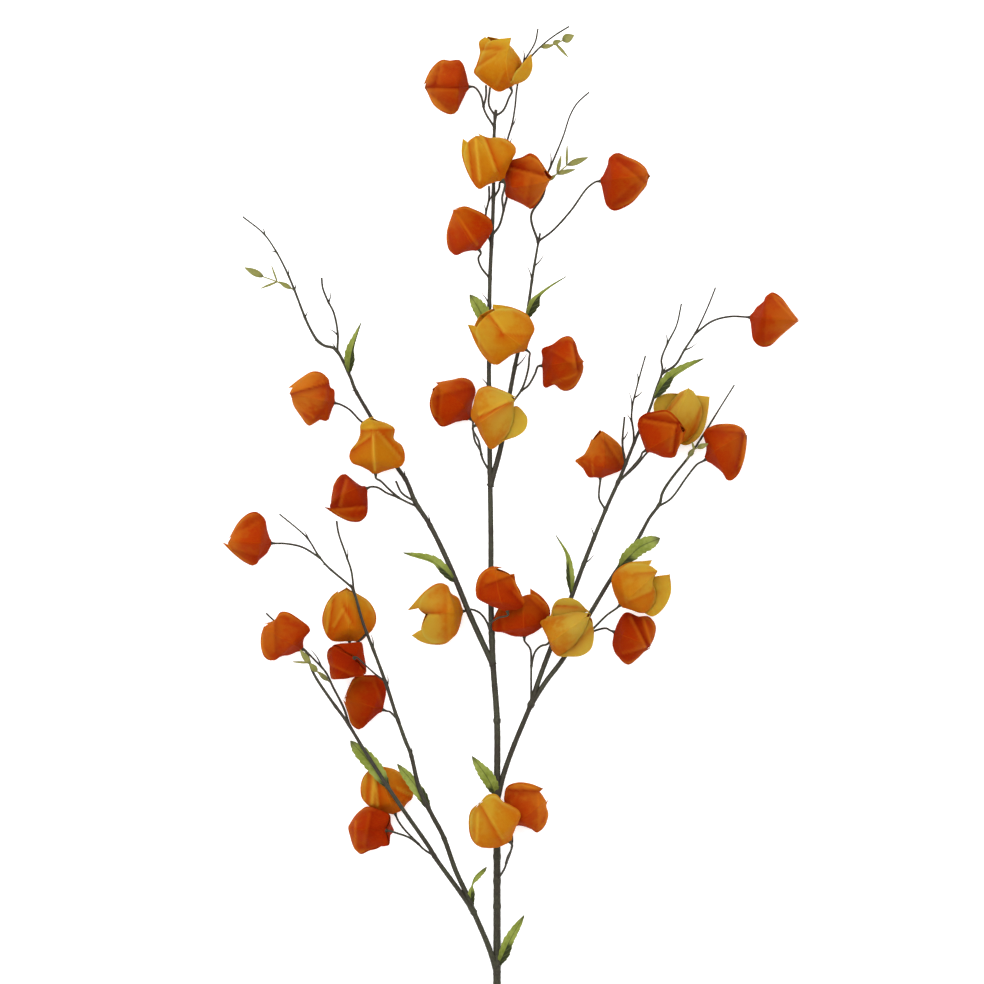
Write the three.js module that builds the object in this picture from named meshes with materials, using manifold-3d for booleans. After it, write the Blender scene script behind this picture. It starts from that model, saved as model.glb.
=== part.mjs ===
// Chinese lantern stem: a tall artificial spray of fabric lanterns, lying on its back on a table.
//
// Units are millimetres, +Z is up, +Y runs up the stem from its cut end and +X to its right.
// The origin is under the middle of the spray, on the table.
//
// Places are given on the layout board that the spray lies on: u to the right of the board's
// left edge, v down from its far edge, and h above the table. A place without h takes its
// height from what carries it, or lies on the table.

import * as THREE from 'three';
import Module from 'manifold-3d';

const wasm = await Module();
wasm.setup();

// ---------------------------------------------------------------------------------------
// Driving dimensions

const BOARD_MIDDLE = { u: 511, v: 525.5 };
const FIT_GAP = 0.3;
const TABLE_FLAT = 0.3;

const BLADE = 0.9;
const PETAL_LAYER = 1.6;
const PETAL_SIDES = ['up', 'right', 'under', 'left'];
const OUTER_COVER = 1.1;
const TIP_SCATTER = 0.05;
const TIP_HALF = 1.2;
const ROOT_SHARE = 0.05;
const ROOT_HALF = 0.12;

// The upper and the under keel of a lantern. along is a share of its length, radius one of its
// girth, and open says how much of the mouth the keel takes up. Between its ends a keel lies as
// far along as the side keels do in the middle, from least to most. A side keel without places
// of its own runs like them.
const KEEL_STATIONS = [
  { along: 0, least: 0, most: 0, radius: 0, open: 0 },
  { along: 0.25, least: 0.15, most: 0.4, radius: 1, open: 0 },
  { along: 0.72, least: 0.58, most: 0.9, radius: 0.86, open: 0.12 },
  { along: 1, least: 1, most: 1, radius: 0, open: 1 },
];

// The rows of a petal, from its root over its shoulder and cheek to its tip. cover is how far it
// reaches from its own keel towards the next line. Two pairs of petals lie in two layers, apart
// round the lantern and, by the share ahead, along its axis.
const PETAL_ROWS = [
  { cover: 0, apart: 0, ahead: 0.75 },
  { cover: 0.56, apart: 1, ahead: 0.9 },
  { cover: 0.55, apart: 1, ahead: 0 },
  { cover: 0, apart: 1, ahead: 0 },
];

// A side petal that stands away from the rest: how far it reaches in behind the waist, and how
// deep its upper and its under edge lie there.
const TUCK = 0.8;
const TUCK_DEPTH = { up: 2.5, under: 12 };
const FLAP_DEPTH = { up: 0, under: 10 };

const PEG_RADIUS = 2;
const PEG_SIDES = 4;

const CAP_RADIUS = 2;
const CAP_LENGTH = 5;

const TWIG_RADII = [1.15, 1.05];
const SPUR_RADII = [0.9, 0.4];
const SPUR_SIDES = 3;
const STALK_RADII = [0.7, 0.5];
const THICK_RUN = 1.5;
const THICK_PITCH = 70;
const TWIG_PITCH = 40;

const LEAF_BLADE = 0.8;
const LEAF_STATIONS = [0, 0.12, 0.3, 0.5, 0.7, 0.88, 1];
const LEAF_TOOTH = 0.85;
const LEAF_EDGE = 0.5;

const SPRIG_RISE = 2;
const SPRIG_STATIONS = [{ along: 0, half: 0.7 }, { along: 1, half: 0.2 }];
const LINE_STEPS = 24;

const UP = new THREE.Vector3(0, 0, 1);

// ---------------------------------------------------------------------------------------
// Finishes

const FINISH = {
  bark: new THREE.MeshStandardMaterial({ color: '#45432f', roughness: 0.6, metalness: 0 }),
  red: new THREE.MeshStandardMaterial({ color: '#b8380f', roughness: 0.85, metalness: 0 }),
  amber: new THREE.MeshStandardMaterial({ color: '#d08a1c', roughness: 0.85, metalness: 0 }),
  leaf: new THREE.MeshStandardMaterial({ color: '#87993d', roughness: 0.8, metalness: 0 }),
  sprig: new THREE.MeshStandardMaterial({ color: '#a9a45c', roughness: 0.7, metalness: 0 }),
};

// ---------------------------------------------------------------------------------------
// Stems: each branch is one moulded piece of several runs. A run that is on another starts
// inside it. r holds the radii at its root and end.

const BRANCHES = {
  main_stem: {
    stem: {
      path: [
        [497, 1024, 3.5], [497, 984, 5.5], [497, 906, 13], [497, 856, 19], [497, 791, 26],
        [497, 720, 32], [493, 662, 36], [491, 601, 38], [491, 540, 39], [490, 470, 40],
        [489, 370, 40], [490, 280, 39], [493, 214, 38], [494.6, 125, 36], [496, 111, 35.5],
      ],
      r: [4, 1.6],
      sides: 8,
    },
    to_01: { on: 'stem', path: [[494.5, 128], [485, 113], [481, 97], [476, 89.5]], to: 1 },
    top_left: { on: 'to_01', path: [[484, 108], [486, 97, 20], [486, 86, 9]] },
    top_back: { on: 'stem', path: [[496, 118], [489, 106, 24], [490, 88, 8]] },
    to_02: { on: 'stem', path: [[496, 118], [503, 112], [509, 99]], to: 2 },
    tall: {
      on: 'stem',
      path: [
        [493, 236], [499, 227, 34], [504, 209, 26], [507, 196, 20], [507, 170, 13],
        [507, 143, 11], [512, 125, 10], [515, 107, 8], [517, 88, 6], [522, 66, 6],
        [535, 43, 9], [538, 29, 11],
      ],
      r: [1.3, 0.7],
    },
    tall_right: {
      on: 'tall',
      path: [[521, 70], [531, 57, 8], [543, 45, 11], [556, 35, 12], [569, 27, 12]],
      r: [1.1, 0.65],
    },
    to_03: { on: 'tall', path: [[503.5, 211], [502, 200, 40]], to: 3 },
    to_04: { on: 'stem', path: [[493.5, 199], [499, 190, 42]], to: 4 },
    left_small: {
      on: 'stem',
      path: [[489.5, 246], [486, 229, 38], [486, 214, 35], [489, 200, 30], [489, 187, 26]],
    },
    to_06: { on: 'stem', path: [[488.5, 279], [481, 268], [478.5, 259]], to: 6 },
    to_09: { on: 'stem', path: [[489, 472], [483, 460, 38], [480, 450], [475, 441], [473, 428]], to: 9 },
    to_10: { on: 'to_09', path: [[481, 454], [479, 442, 46]], to: 10 },
    to_20: { on: 'stem', path: [[491, 640], [487, 622, 29], [479, 612, 24], [470, 609, 24]], to: 20 },
    to_21: { on: 'stem', path: [[492, 633], [489, 625, 50], [498, 617, 65]], r: [0.95, 0.75], to: 21 },
    to_32: { on: 'stem', path: [[498, 880], [505, 866], [507, 857]], to: 32 },
    to_33: { on: 'to_32', path: [[506, 862], [511, 849], [512, 835]], to: 33 },
  },
  left_low_branch: {
    root: {
      on: 'main_stem.stem',
      path: [[496, 972], [489, 947, 13], [472, 907, 21]],
      r: [3, 2.6],
    },
    left_arm: {
      on: 'root',
      path: [
        [474, 911], [463, 895, 25], [436, 857, 35], [429, 845, 37.5], [404, 809, 44],
        [386, 782, 47], [365, 749, 47], [347, 720, 46], [333, 701, 43], [314, 672, 38],
      ],
      r: [2.6, 1.3],
      to: 26,
    },
    left_upper: {
      on: 'left_arm',
      path: [
        [349, 724], [345, 709, 38], [333, 686, 20], [326, 672, 13], [314, 659, 8],
        [300, 645, 5], [283, 629, 3], [266, 613, 3],
      ],
      r: [1.4, 0.7],
    },
    right_arm: {
      on: 'root',
      path: [
        [474, 912], [468, 896, 24], [456, 870, 31], [443, 834, 40], [432, 813, 44],
        [420, 788, 47], [411, 752, 49], [406, 740, 49.5], [396, 712, 50], [387, 684, 50],
        [376, 654, 50], [364, 623, 50], [353, 588, 46], [349, 584, 45], [328, 566, 42],
        [319, 555, 40], [308, 538, 34], [280, 514, 24],
      ],
      r: [2.6, 0.7],
      taper: 1.4,
    },
    right_tip: {
      on: 'right_arm',
      path: [[354, 592], [352, 571, 43], [347, 556, 39], [339, 533, 31], [337, 521, 27]],
    },
    to_15: { on: 'right_arm', path: [[321, 557], [303, 547, 33], [286, 543.5, 26]], to: 15 },
    to_27: { on: 'right_arm', path: [[368, 632], [360, 640, 43]], to: 27 },
    to_28: { on: 'right_arm', path: [[385, 680], [376, 673, 56], [365, 663, 60]], r: [0.95, 0.75], to: 28 },
    to_29: { on: 'right_arm', path: [[398, 718], [391, 711.5, 37]], to: 29 },
    to_30: {
      on: 'left_arm',
      path: [[434, 854], [424, 848, 33], [417, 841], [405, 829], [399, 821]],
      to: 30,
    },
    to_31: { on: 'to_30', path: [[419, 843], [409, 836, 38], [397, 831.5, 45]], to: 31 },
  },
  left_high_branch: {
    stem: {
      on: 'main_stem.stem',
      path: [
        [493, 664], [469, 612, 34], [460, 590, 32], [445, 555, 28], [429, 523, 24],
        [416, 503, 20], [406, 480, 15], [397, 467, 12], [384, 442, 9], [371, 417, 8],
        [355, 389, 9], [350, 376, 10], [335, 349, 13], [325, 346, 14], [318, 341, 14],
        [311, 330, 15], [305, 317, 16], [295, 291, 17], [287, 272, 18], [276, 251, 18],
        [264, 234, 18], [243, 217, 16],
      ],
      r: [3, 0.7],
      taper: 1.2,
    },
    right_tip: {
      on: 'stem',
      path: [[336, 352], [338, 334, 16], [334, 313, 18], [328, 301, 18], [323, 288, 18], [322, 278, 17]],
    },
    to_14: {
      on: 'stem',
      path: [[418, 508], [407, 502, 21], [397, 497, 22], [387, 493], [378, 487.5]],
      to: 14,
    },
    to_13: { on: 'to_14', path: [[399, 498], [389, 489, 28], [381, 481, 34]], to: 13 },
    side: { on: 'stem', path: [[415, 502], [402, 493, 21], [396, 481, 23]] },
    to_12: { on: 'stem', path: [[377, 431], [362, 422, 11], [350, 410, 17]], to: 12 },
  },
  centre_branch: {
    stem: {
      on: 'main_stem.stem',
      path: [
        [491, 487], [501, 446, 41], [510, 392, 40], [516, 361, 38], [527, 314, 36],
        [532, 280, 35], [537, 250, 35], [540, 234, 35],
      ],
      r: [2.9, 1.1],
    },
    left: {
      on: 'stem',
      path: [
        [538, 244], [531, 217, 30], [543, 196, 16], [548, 173, 12], [551, 166, 12],
        [563, 137, 15], [570, 116, 18], [577, 104, 20], [589, 93, 22],
      ],
      r: [1.4, 0.65],
    },
    to_05: { on: 'stem', path: [[539, 242], [552, 232, 34], [571, 211, 30], [587, 189]], to: 5 },
    to_07: {
      on: 'stem',
      path: [[507, 410], [516, 398, 38], [522, 389, 38], [528, 370, 42], [529, 359, 46]],
      to: 7,
    },
    to_08: { on: 'to_07', path: [[521, 391], [528, 386, 33], [535, 374]], to: 8 },
  },
  right_branch: {
    root: {
      on: 'main_stem.stem',
      path: [[498.5, 800], [504, 772, 29], [514, 744, 32], [524, 720, 34], [533, 699, 35]],
      r: [2.75, 2.6],
    },
    inner_arm: {
      on: 'root',
      path: [
        [531, 704], [535, 690, 35], [550, 649, 34], [572, 594, 34], [586, 557, 34],
        [606, 508, 34], [619, 479, 33], [637, 435, 31], [649, 410, 30], [656, 389, 26],
        [662, 371, 25], [661, 360, 25], [667, 344, 25], [676, 326, 24], [681, 304, 22],
      ],
      r: [2.6, 0.7],
      taper: 1.6,
    },
    inner_right: {
      on: 'inner_arm',
      path: [[661, 374], [675, 365, 26], [684, 350, 26], [695, 333, 27], [707, 308, 27], [715, 288, 26]],
      r: [1.4, 0.65],
    },
    to_11: { on: 'inner_right', path: [[695, 335], [712, 321.5, 28], [730, 317]], to: 11 },
    bare_tall: {
      on: 'inner_arm',
      path: [[634, 443], [633, 432, 33], [631, 418, 35], [632, 406, 36], [638, 381, 36], [645, 356, 34]],
      r: [1.15, 0.65],
    },
    bare_short: { on: 'inner_arm', path: [[625, 465], [622, 444, 35], [624, 417, 37]] },
    to_16: { on: 'inner_arm', path: [[606, 510], [599, 499, 30], [599, 489]], to: 16 },
    to_17: { on: 'inner_arm', path: [[619, 482], [632, 467, 40], [640, 457, 48]], to: 17 },
    to_18: { on: 'inner_arm', path: [[620, 483], [635, 466.5, 27], [650, 450, 20]], to: 18 },
    outer_arm: {
      on: 'root',
      path: [
        [531, 705], [545, 682, 35], [563, 658, 34], [590, 613, 29], [611, 578, 25],
        [619, 566, 24], [638, 538, 24], [649, 518, 24], [659, 504, 24], [662, 493, 24],
        [670, 480, 21], [689, 456, 18], [703, 435, 15], [719, 409, 15], [734, 385, 16],
      ],
      r: [2.6, 0.7],
      taper: 1.4,
    },
    to_19: { on: 'outer_arm', path: [[658, 507], [670, 499, 24], [687, 476, 24], [697, 464]], to: 19 },
    to_22: { on: 'root', path: [[531, 704], [531, 678, 38], [531, 662, 41], [530, 648, 45]], to: 22 },
    to_23: { on: 'to_22', path: [[531, 666], [535, 651, 50], [541, 645, 55]], to: 23 },
    to_24: { on: 'outer_arm', path: [[574, 640], [588, 633, 33], [596, 625, 35], [606, 615, 38]], to: 24 },
    to_25: { on: 'to_24', path: [[586, 635], [597, 629.5, 31], [606, 628]], to: 25 },
  },
};

// Pointed bud spurs: the run each stands on, its place there, and its point.
const SPURS = {
  main_stem: [
    ['tall', [508, 147], [512, 138, 13]], ['tall', [523, 62], [523.5, 50, 10]],
    ['left_small', [486, 218], [484, 205, 37]], ['stem', [489, 306], [481, 293, 43]],
    ['stem', [489, 389], [481, 378, 44]],
  ],
  left_low_branch: [
    ['right_arm', [308, 540], [304, 530, 38]], ['right_arm', [331, 569], [322, 563, 46]],
    ['right_arm', [354, 590], [351, 583, 49]], ['right_arm', [388, 687], [388, 673, 55]],
    ['right_tip', [348, 559], [348, 548, 42]], ['left_arm', [336, 706], [333, 700, 46]],
  ],
  left_high_branch: [
    ['stem', [430, 526], [428, 514, 28]], ['stem', [335, 351], [332, 343, 16]],
    ['stem', [319, 342], [314, 341, 16]], ['stem', [305, 318], [308, 311, 19]],
    ['stem', [277, 253], [272, 252, 20]], ['stem', [265, 236], [263, 228, 20]],
    ['right_tip', [329, 303], [331, 292, 21]],
  ],
  centre_branch: [
    ['stem', [532, 282], [526.5, 266, 39]], ['stem', [536, 267], [544, 255, 39]],
    ['left', [551, 168], [550, 152, 15]],
  ],
  right_branch: [
    ['inner_arm', [586, 565], [594, 554, 38]], ['inner_arm', [594, 539], [590, 526, 38]],
    ['inner_arm', [667, 345], [665, 333, 28]], ['inner_right', [684, 352], [697, 343, 30]],
    ['bare_tall', [632, 409], [628, 391, 40]], ['bare_tall', [635, 399], [643, 390, 40]],
    ['outer_arm', [641, 534], [643, 526, 27]],
  ],
};

// ---------------------------------------------------------------------------------------
// Lanterns: base is where the twig ends, tip where the petals close over, girth the radius
// at the petals' keels, lift the axis's slope in degrees, flat how far the section is pressed
// down, mouth how far the tips stay open, turn a roll about the axis in degrees, and short the
// share of the length that the upper and under petals have. A base without h lies on the
// table. right, left and over are places that a side or upper petal's keel passes; waist is
// the line where a side petal's folded face meets the upper petal, and flap the free edge of
// an upper petal that is folded over.

const LANTERNS = [
  {
    hue: 'red', base: [468, 88], tip: [425, 89], girth: 26.5, mouth: 0.2,
    right: [[466, 76], [461, 62], [450, 62], [443, 61], [436, 65], [429, 74], [424, 86]],
    left: [[463, 98], [459, 107], [456, 114], [451, 115.5], [443, 113], [434, 106], [427, 92]],
  },
  {
    hue: 'amber', base: [510, 88, 38], tip: [489, 40], girth: 24, mouth: 0.4, lift: 4,
    right: [[518, 86], [527, 81], [532, 70], [531, 56]],
    left: [[499, 93], [487, 86], [477, 78], [474, 74], [477, 66], [480, 54], [479, 44], [485, 39]],
    over: [[507, 76], [506, 62], [509, 50], [511, 40]],
    waist: {
      right: [[517, 80], [521, 67], [516, 56], [509, 48], [498, 41]],
    },
    flap: {
      right: [[508, 87, 8], [512, 83, 14], [515, 75, 15], [521, 68, 13], [529, 58, 5]],
    },
  },
  {
    hue: 'amber', base: [502, 181, 66], tip: [476, 139], girth: 26, mouth: 0.5, flat: 0.85,
    right: [[511, 161], [516, 152], [510, 144], [500, 140], [488, 140], [478, 136]],
    left: [[488, 186], [479, 191], [473, 184], [466, 170], [462, 156], [463, 141]],
  },
  {
    hue: 'red', base: [505, 183, 40], tip: [550, 180], girth: 26, mouth: 0.25, lift: 8, turn: 14,
    right: [[505, 190], [506, 197], [515, 202], [524, 206], [529, 210], [537, 203], [543, 193], [550, 181]],
    left: [[504, 174], [505, 166], [511, 162], [522, 159], [531, 155], [538, 159], [542, 167], [541, 174]],
  },
  {
    hue: 'red', base: [601, 182], tip: [648, 177], girth: 28, mouth: 0.25,
    right: [[603, 193], [607, 208], [613, 211.5], [622, 209], [632, 203], [640, 194], [646, 186], [647, 178]],
    left: [[608, 167], [610, 157], [617, 154], [627, 158], [638, 163], [645, 169], [648, 175]],
  },
  {
    hue: 'red', base: [478.5, 250, 52], tip: [455, 212], girth: 25, mouth: 0.3, lift: 3, turn: -8,
    right: [[486, 241], [492, 230], [491, 222], [484, 216], [474, 211], [465, 208], [456, 210]],
    left: [[465, 252], [456, 256], [450, 252], [447, 238], [450, 223], [455, 212]],
  },
  {
    hue: 'amber', base: [525, 350, 66], tip: [484, 319], girth: 27, mouth: 0.5, lift: 14, flat: 0.85,
    right: [[530, 338], [534, 329], [528, 317], [516, 310], [504, 307], [493, 306]],
    left: [[510, 355], [501, 362], [495, 366], [486, 360], [477, 347], [468, 326]],
  },
  {
    hue: 'red', base: [543, 366], tip: [582, 362], girth: 28, mouth: 0.25,
    right: [[543, 376], [544, 388], [554, 385], [563, 391], [572, 389], [580, 378], [583, 367], [581, 361]],
    left: [[543, 358], [542, 350], [552, 345], [562, 338], [570, 337], [575, 343], [578, 354], [581, 361]],
  },
  {
    hue: 'red', base: [469, 418], tip: [434, 388], girth: 26, mouth: 0.3, turn: 12,
    right: [[471, 405], [475, 390], [472, 382], [463, 378], [452, 380], [436, 383]],
    left: [[456, 421], [442, 426], [435, 420], [430, 406], [432, 394], [434, 391]],
  },
  {
    hue: 'amber', base: [477, 425, 67], tip: [514, 400], girth: 28.5, mouth: 0.3, lift: 12.5, flat: 0.85,
    right: [[483, 438], [491, 448], [503, 441], [516, 437], [525, 430], [527, 419], [522, 411]],
    left: [[472, 418], [475, 402], [478, 391], [488, 387], [502, 391], [516, 398]],
    waist: {
      right: [[483, 438], [491, 448], [503, 439], [509, 430], [513, 415], [512, 402]],
    },
  },
  {
    hue: 'red', base: [750, 318], tip: [796, 322], girth: 28, mouth: 0.18,
    right: [[751, 328], [753, 342], [760, 347], [769, 346], [778, 338], [787, 330], [796, 322]],
    left: [[757, 308], [764, 302], [766, 296], [771, 293], [780, 298], [790, 311], [798, 321]],
  },
  {
    hue: 'red', base: [334, 403], tip: [291, 394], girth: 26, mouth: 0.3,
    right: [[334, 390], [330, 387], [328, 378], [322, 373], [313, 372], [302, 378], [289, 388]],
    left: [[330, 415], [328, 421], [320, 420], [310, 426], [301, 416], [294, 405], [292, 396]],
  },
  {
    hue: 'amber', base: [376, 473, 39], tip: [373, 420], girth: 27, mouth: 0.3,
    right: [[390, 469], [403, 465], [405, 457], [402, 446], [394, 439], [395, 429], [388, 424], [379, 421]],
    left: [[363, 466], [351, 461], [351, 452], [358, 442], [361, 434], [361, 425], [368, 419], [374, 417]],
  },
  {
    hue: 'red', base: [366, 489], tip: [331, 505], girth: 25, mouth: 0.2, turn: 10,
    right: [[360, 487], [349, 478], [344, 474], [337, 480], [333, 492], [332, 504]],
    left: [[367, 503], [366, 516], [361, 521], [350, 521], [337, 515], [325, 507]],
  },
  {
    hue: 'red', base: [271, 543], tip: [230, 541], girth: 26, mouth: 0.22,
    right: [[267, 530], [265, 518], [258, 512], [250, 513], [240, 521], [230, 538]],
    left: [[268, 551], [259, 560], [255, 565], [246, 562], [235, 554], [223, 542]],
  },
  {
    hue: 'red', base: [600, 477], tip: [601, 432], girth: 22, mouth: 0.4, turn: 8,
    right: [[612, 473], [621, 469], [625, 457], [620, 446], [612, 438], [602, 431]],
    left: [[594, 477], [589, 477], [583, 468], [575, 461], [584, 456], [588, 448], [591, 440]],
  },
  {
    hue: 'red', base: [646, 450, 56], tip: [683, 429], girth: 26, mouth: 0.25, lift: 20, flat: 0.8,
    right: [[656, 453], [667, 457], [673, 457], [677, 448], [682, 438], [685, 430]],
    left: [[640, 435], [637, 421], [643, 415], [655, 412], [666, 411], [675, 418], [683, 429]],
  },
  {
    hue: 'amber', base: [665, 440], tip: [688, 389], girth: 28, mouth: 0.35, flat: 0.7,
    right: [[678, 444], [685, 446], [695, 441], [703, 430], [707, 414], [709, 397]],
    left: [[657, 425], [653, 406], [657, 398], [666, 394], [679, 394]],
    waist: {
      right: [[676, 443], [684, 441], [695, 430], [701, 414], [699, 403], [692, 391]],
      left: [[660, 428], [665, 413], [672, 402], [680, 393]],
    },
  },
  {
    hue: 'red', base: [706, 459], tip: [745, 435], girth: 28, mouth: 0.25, turn: -6,
    right: [[713, 464], [722, 472], [728, 481], [736, 476], [742, 464], [745, 450], [746, 439]],
    left: [[707, 447], [704, 432], [712, 426], [723, 424], [735, 425], [743, 430], [746, 438]],
  },
  {
    hue: 'amber', base: [462, 611], tip: [414, 615], girth: 29, mouth: 0.1, flat: 0.85, short: 0.72,
    right: [[458, 598], [450, 593], [446, 584], [438, 583], [426, 590], [408, 610]],
    left: [[459, 626], [455, 635], [446, 643], [433, 644], [421, 641], [412, 635]],
  },
  {
    hue: 'red', base: [507, 609, 74], tip: [497, 568], girth: 23, mouth: 0.25, flat: 0.85, turn: -10,
    right: [[519, 608], [524, 603], [520, 593], [516, 583], [514, 573]],
    left: [[492, 604], [477, 595], [478, 578], [484, 570], [493, 566], [502, 567]],
  },
  {
    hue: 'red', base: [524, 635, 46], tip: [522, 597], girth: 27, mouth: 0.35, flat: 0.85,
    right: [[534, 631], [548, 619], [549, 608], [541, 596], [530, 588]],
    left: [[514, 635], [502, 631], [493, 630], [494, 618], [500, 606], [510, 599], [520, 597]],
  },
  {
    hue: 'amber', base: [550, 641, 60], tip: [588, 614], girth: 27, mouth: 0.35, lift: 24, flat: 0.85,
    right: [[552, 649], [556, 655], [568, 656], [580, 655], [590, 648], [593, 635], [592, 625]],
    left: [[546, 630], [541, 622], [551, 618], [551, 609], [556, 600], [566, 597], [577, 600], [588, 612]],
    waist: {
      right: [[552, 648], [558, 653], [570, 646], [579, 635], [585, 624], [588, 615]],
      left: [[546, 630], [541, 622], [551, 617], [563, 614], [576, 612], [588, 613]],
    },
  },
  {
    hue: 'amber', base: [620, 604, 47], tip: [655, 572], girth: 28, mouth: 0.3, flat: 0.85,
    right: [[629, 608], [640, 611], [651, 616], [663, 607], [670, 592], [669, 574]],
    left: [[614, 592], [611, 578], [618, 568], [630, 562], [641, 561], [651, 560]],
    waist: {
      right: [[630, 608], [643, 611], [653, 602], [654, 590], [651, 581], [655, 572]],
    },
  },
  {
    hue: 'red', base: [615, 632], tip: [650, 645], girth: 26, mouth: 0.25, flat: 0.85,
    right: [[613, 645], [620, 659], [628, 664], [637, 658], [643, 652], [649, 648]],
    left: [[616, 627], [626, 612], [638, 616], [648, 616], [655, 625], [654, 636], [649, 647]],
  },
  {
    hue: 'red', base: [302, 648, 33], tip: [265, 627], girth: 25, mouth: 0.3,
    right: [[304, 637], [311, 629], [300, 619], [288, 612], [281, 612], [275, 620], [266, 623]],
    left: [[290, 653], [280, 655], [273, 660], [266, 657], [262, 647], [262, 635], [265, 625]],
  },
  {
    hue: 'amber', base: [350, 640, 32], tip: [347, 588], girth: 27, mouth: 0.3, flat: 0.75,
    right: [[360, 641], [368, 634], [375, 626], [376, 614], [369, 601], [357, 593]],
    left: [[339, 641], [330, 639], [323, 622], [326, 606], [332, 596], [338, 591]],
  },
  {
    hue: 'red', base: [355, 657, 64], tip: [337, 665], girth: 22, mouth: 0.4, lift: -60, turn: -30,
  },
  {
    hue: 'red', base: [382, 709], tip: [346, 697], girth: 26, mouth: 0.3, flat: 0.65,
    right: [[384, 702], [386, 689], [381, 677], [368, 675], [355, 677], [349, 687], [345, 698]],
    left: [[377, 713], [368, 721], [360, 729], [352, 724], [348, 712], [344, 700]],
  },
  {
    hue: 'amber', base: [395, 812], tip: [377, 766], girth: 26, mouth: 0.2, flat: 0.75,
    right: [[401, 810], [407, 802], [413, 797], [413, 788], [406, 777], [395, 769], [383, 766]],
    left: [[385, 812], [374, 808], [363, 799], [361, 787], [364, 776], [371, 768]],
  },
  {
    hue: 'red', base: [386, 829, 44], tip: [355, 827], girth: 24, mouth: 0.3, lift: -38,
    right: [[390, 815], [378, 808], [366, 806], [358, 813], [353, 820], [349, 825]],
    left: [[389, 843], [380, 845], [368, 850], [361, 853], [355, 847], [352, 838], [351, 829]],
  },
  {
    hue: 'amber', base: [509, 839, 54], tip: [480, 803], girth: 27, mouth: 0.35, flat: 0.85,
    right: [[514, 827], [520, 811], [511, 804], [503, 800], [496, 793], [488, 793], [480, 801]],
    left: [[500, 844], [480, 845], [472, 837], [469, 822], [471, 809], [478, 802]],
  },
  {
    hue: 'red', base: [513, 824], tip: [546, 799], girth: 27, mouth: 0.3, flat: 0.8,
    right: [[520, 823], [532, 827], [538, 831], [545, 824], [548, 813], [546, 805], [548, 799]],
    left: [[507, 810], [504, 794], [507, 786], [517, 782], [530, 783], [543, 788]],
  },
];

// ---------------------------------------------------------------------------------------
// Leaves: on is the branch that carries the leaf, rib its midrib, left and right the widths of
// its halves in plan at the inner leaf stations, and fold how far both stand up, in degrees.

const LEAVES = [
  {
    on: 'left_high_branch',
    rib: [[351, 374], [351.5, 356, 18], [355.5, 341, 21], [361.5, 323, 24]],
    left: [4, 7, 7, 4.5, 2], right: [3, 4.5, 1.2, 0.7, 0.5], fold: 30,
  },
  {
    on: 'main_stem',
    rib: [[489, 334], [481, 314, 44], [470, 295.5, 46]],
    left: [2.5, 5, 6.5, 6, 3.5], right: [3, 8, 10, 8, 4.5], fold: 15,
  },
  {
    on: 'centre_branch',
    rib: [[526, 319], [536, 300, 42], [547, 289.5, 44], [566, 277.5, 46]],
    left: [3.5, 5, 2.2, 1.2, 0.8], right: [5, 7, 1.5, 1, 0.6], fold: 25,
  },
  {
    on: 'right_branch',
    rib: [[653, 400], [667, 380.5, 31], [682, 370, 33], [703, 359, 34]],
    left: [3, 6, 6.5, 5, 2.8], right: [5, 6.5, 2.2, 1.6, 1], fold: 25,
  },
  {
    on: 'left_high_branch',
    rib: [[456, 582], [441, 567, 35], [428, 559.5, 37], [403.5, 552.5, 38]],
    left: [4.5, 5, 1.5, 2, 1.5], right: [3, 6, 7, 5, 2.5], fold: 25,
  },
  {
    on: 'right_branch',
    rib: [[571, 597], [569.3, 571, 39], [566.5, 554, 41], [555.6, 535, 42]],
    left: [2.2, 4.3, 3, 1.6, 0.9], right: [2.2, 5, 4, 2, 1], fold: 30,
  },
  {
    on: 'right_branch',
    rib: [[616, 571], [629, 556.5, 31], [640, 546.5, 33], [659.5, 538, 34]],
    left: [3.5, 8, 8.5, 8, 5.5], right: [3.5, 6, 8, 8.5, 6], fold: 12,
  },
  {
    on: 'left_low_branch',
    rib: [[392, 791], [373, 764, 43.5], [351, 739.5, 42]],
    left: [3, 6.5, 8, 8, 5.5], right: [3.5, 7.5, 8.5, 7.5, 4.5], fold: 0,
  },
  {
    on: 'left_low_branch',
    rib: [[431, 812], [417, 786, 44], [397.7, 762.6, 43]],
    left: [3, 5.5, 7, 6, 3.5], right: [3.5, 6, 5.5, 5, 3], fold: 0,
  },
  {
    on: 'main_stem',
    rib: [[497, 797], [487.5, 777, 34], [472.2, 755.2, 38]],
    left: [3, 6, 7, 6, 3.5], right: [4, 8, 8, 5.5, 3], fold: 15,
  },
  {
    on: 'left_low_branch',
    rib: [[471.5, 907], [471.5, 891, 26], [475, 876.5, 30], [486.5, 865.8, 31]],
    left: [3.5, 4, 0.9, 1, 1], right: [3, 4, 0.9, 4.6, 3.6], fold: 25,
  },
  {
    on: 'main_stem',
    rib: [[498, 968], [504.5, 952, 13], [511, 937.5, 17], [524.2, 914.3, 20]],
    left: [3, 6, 7, 5.5, 3], right: [3.5, 6, 4.5, 4, 2.5], fold: 25,
  },
];

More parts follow.
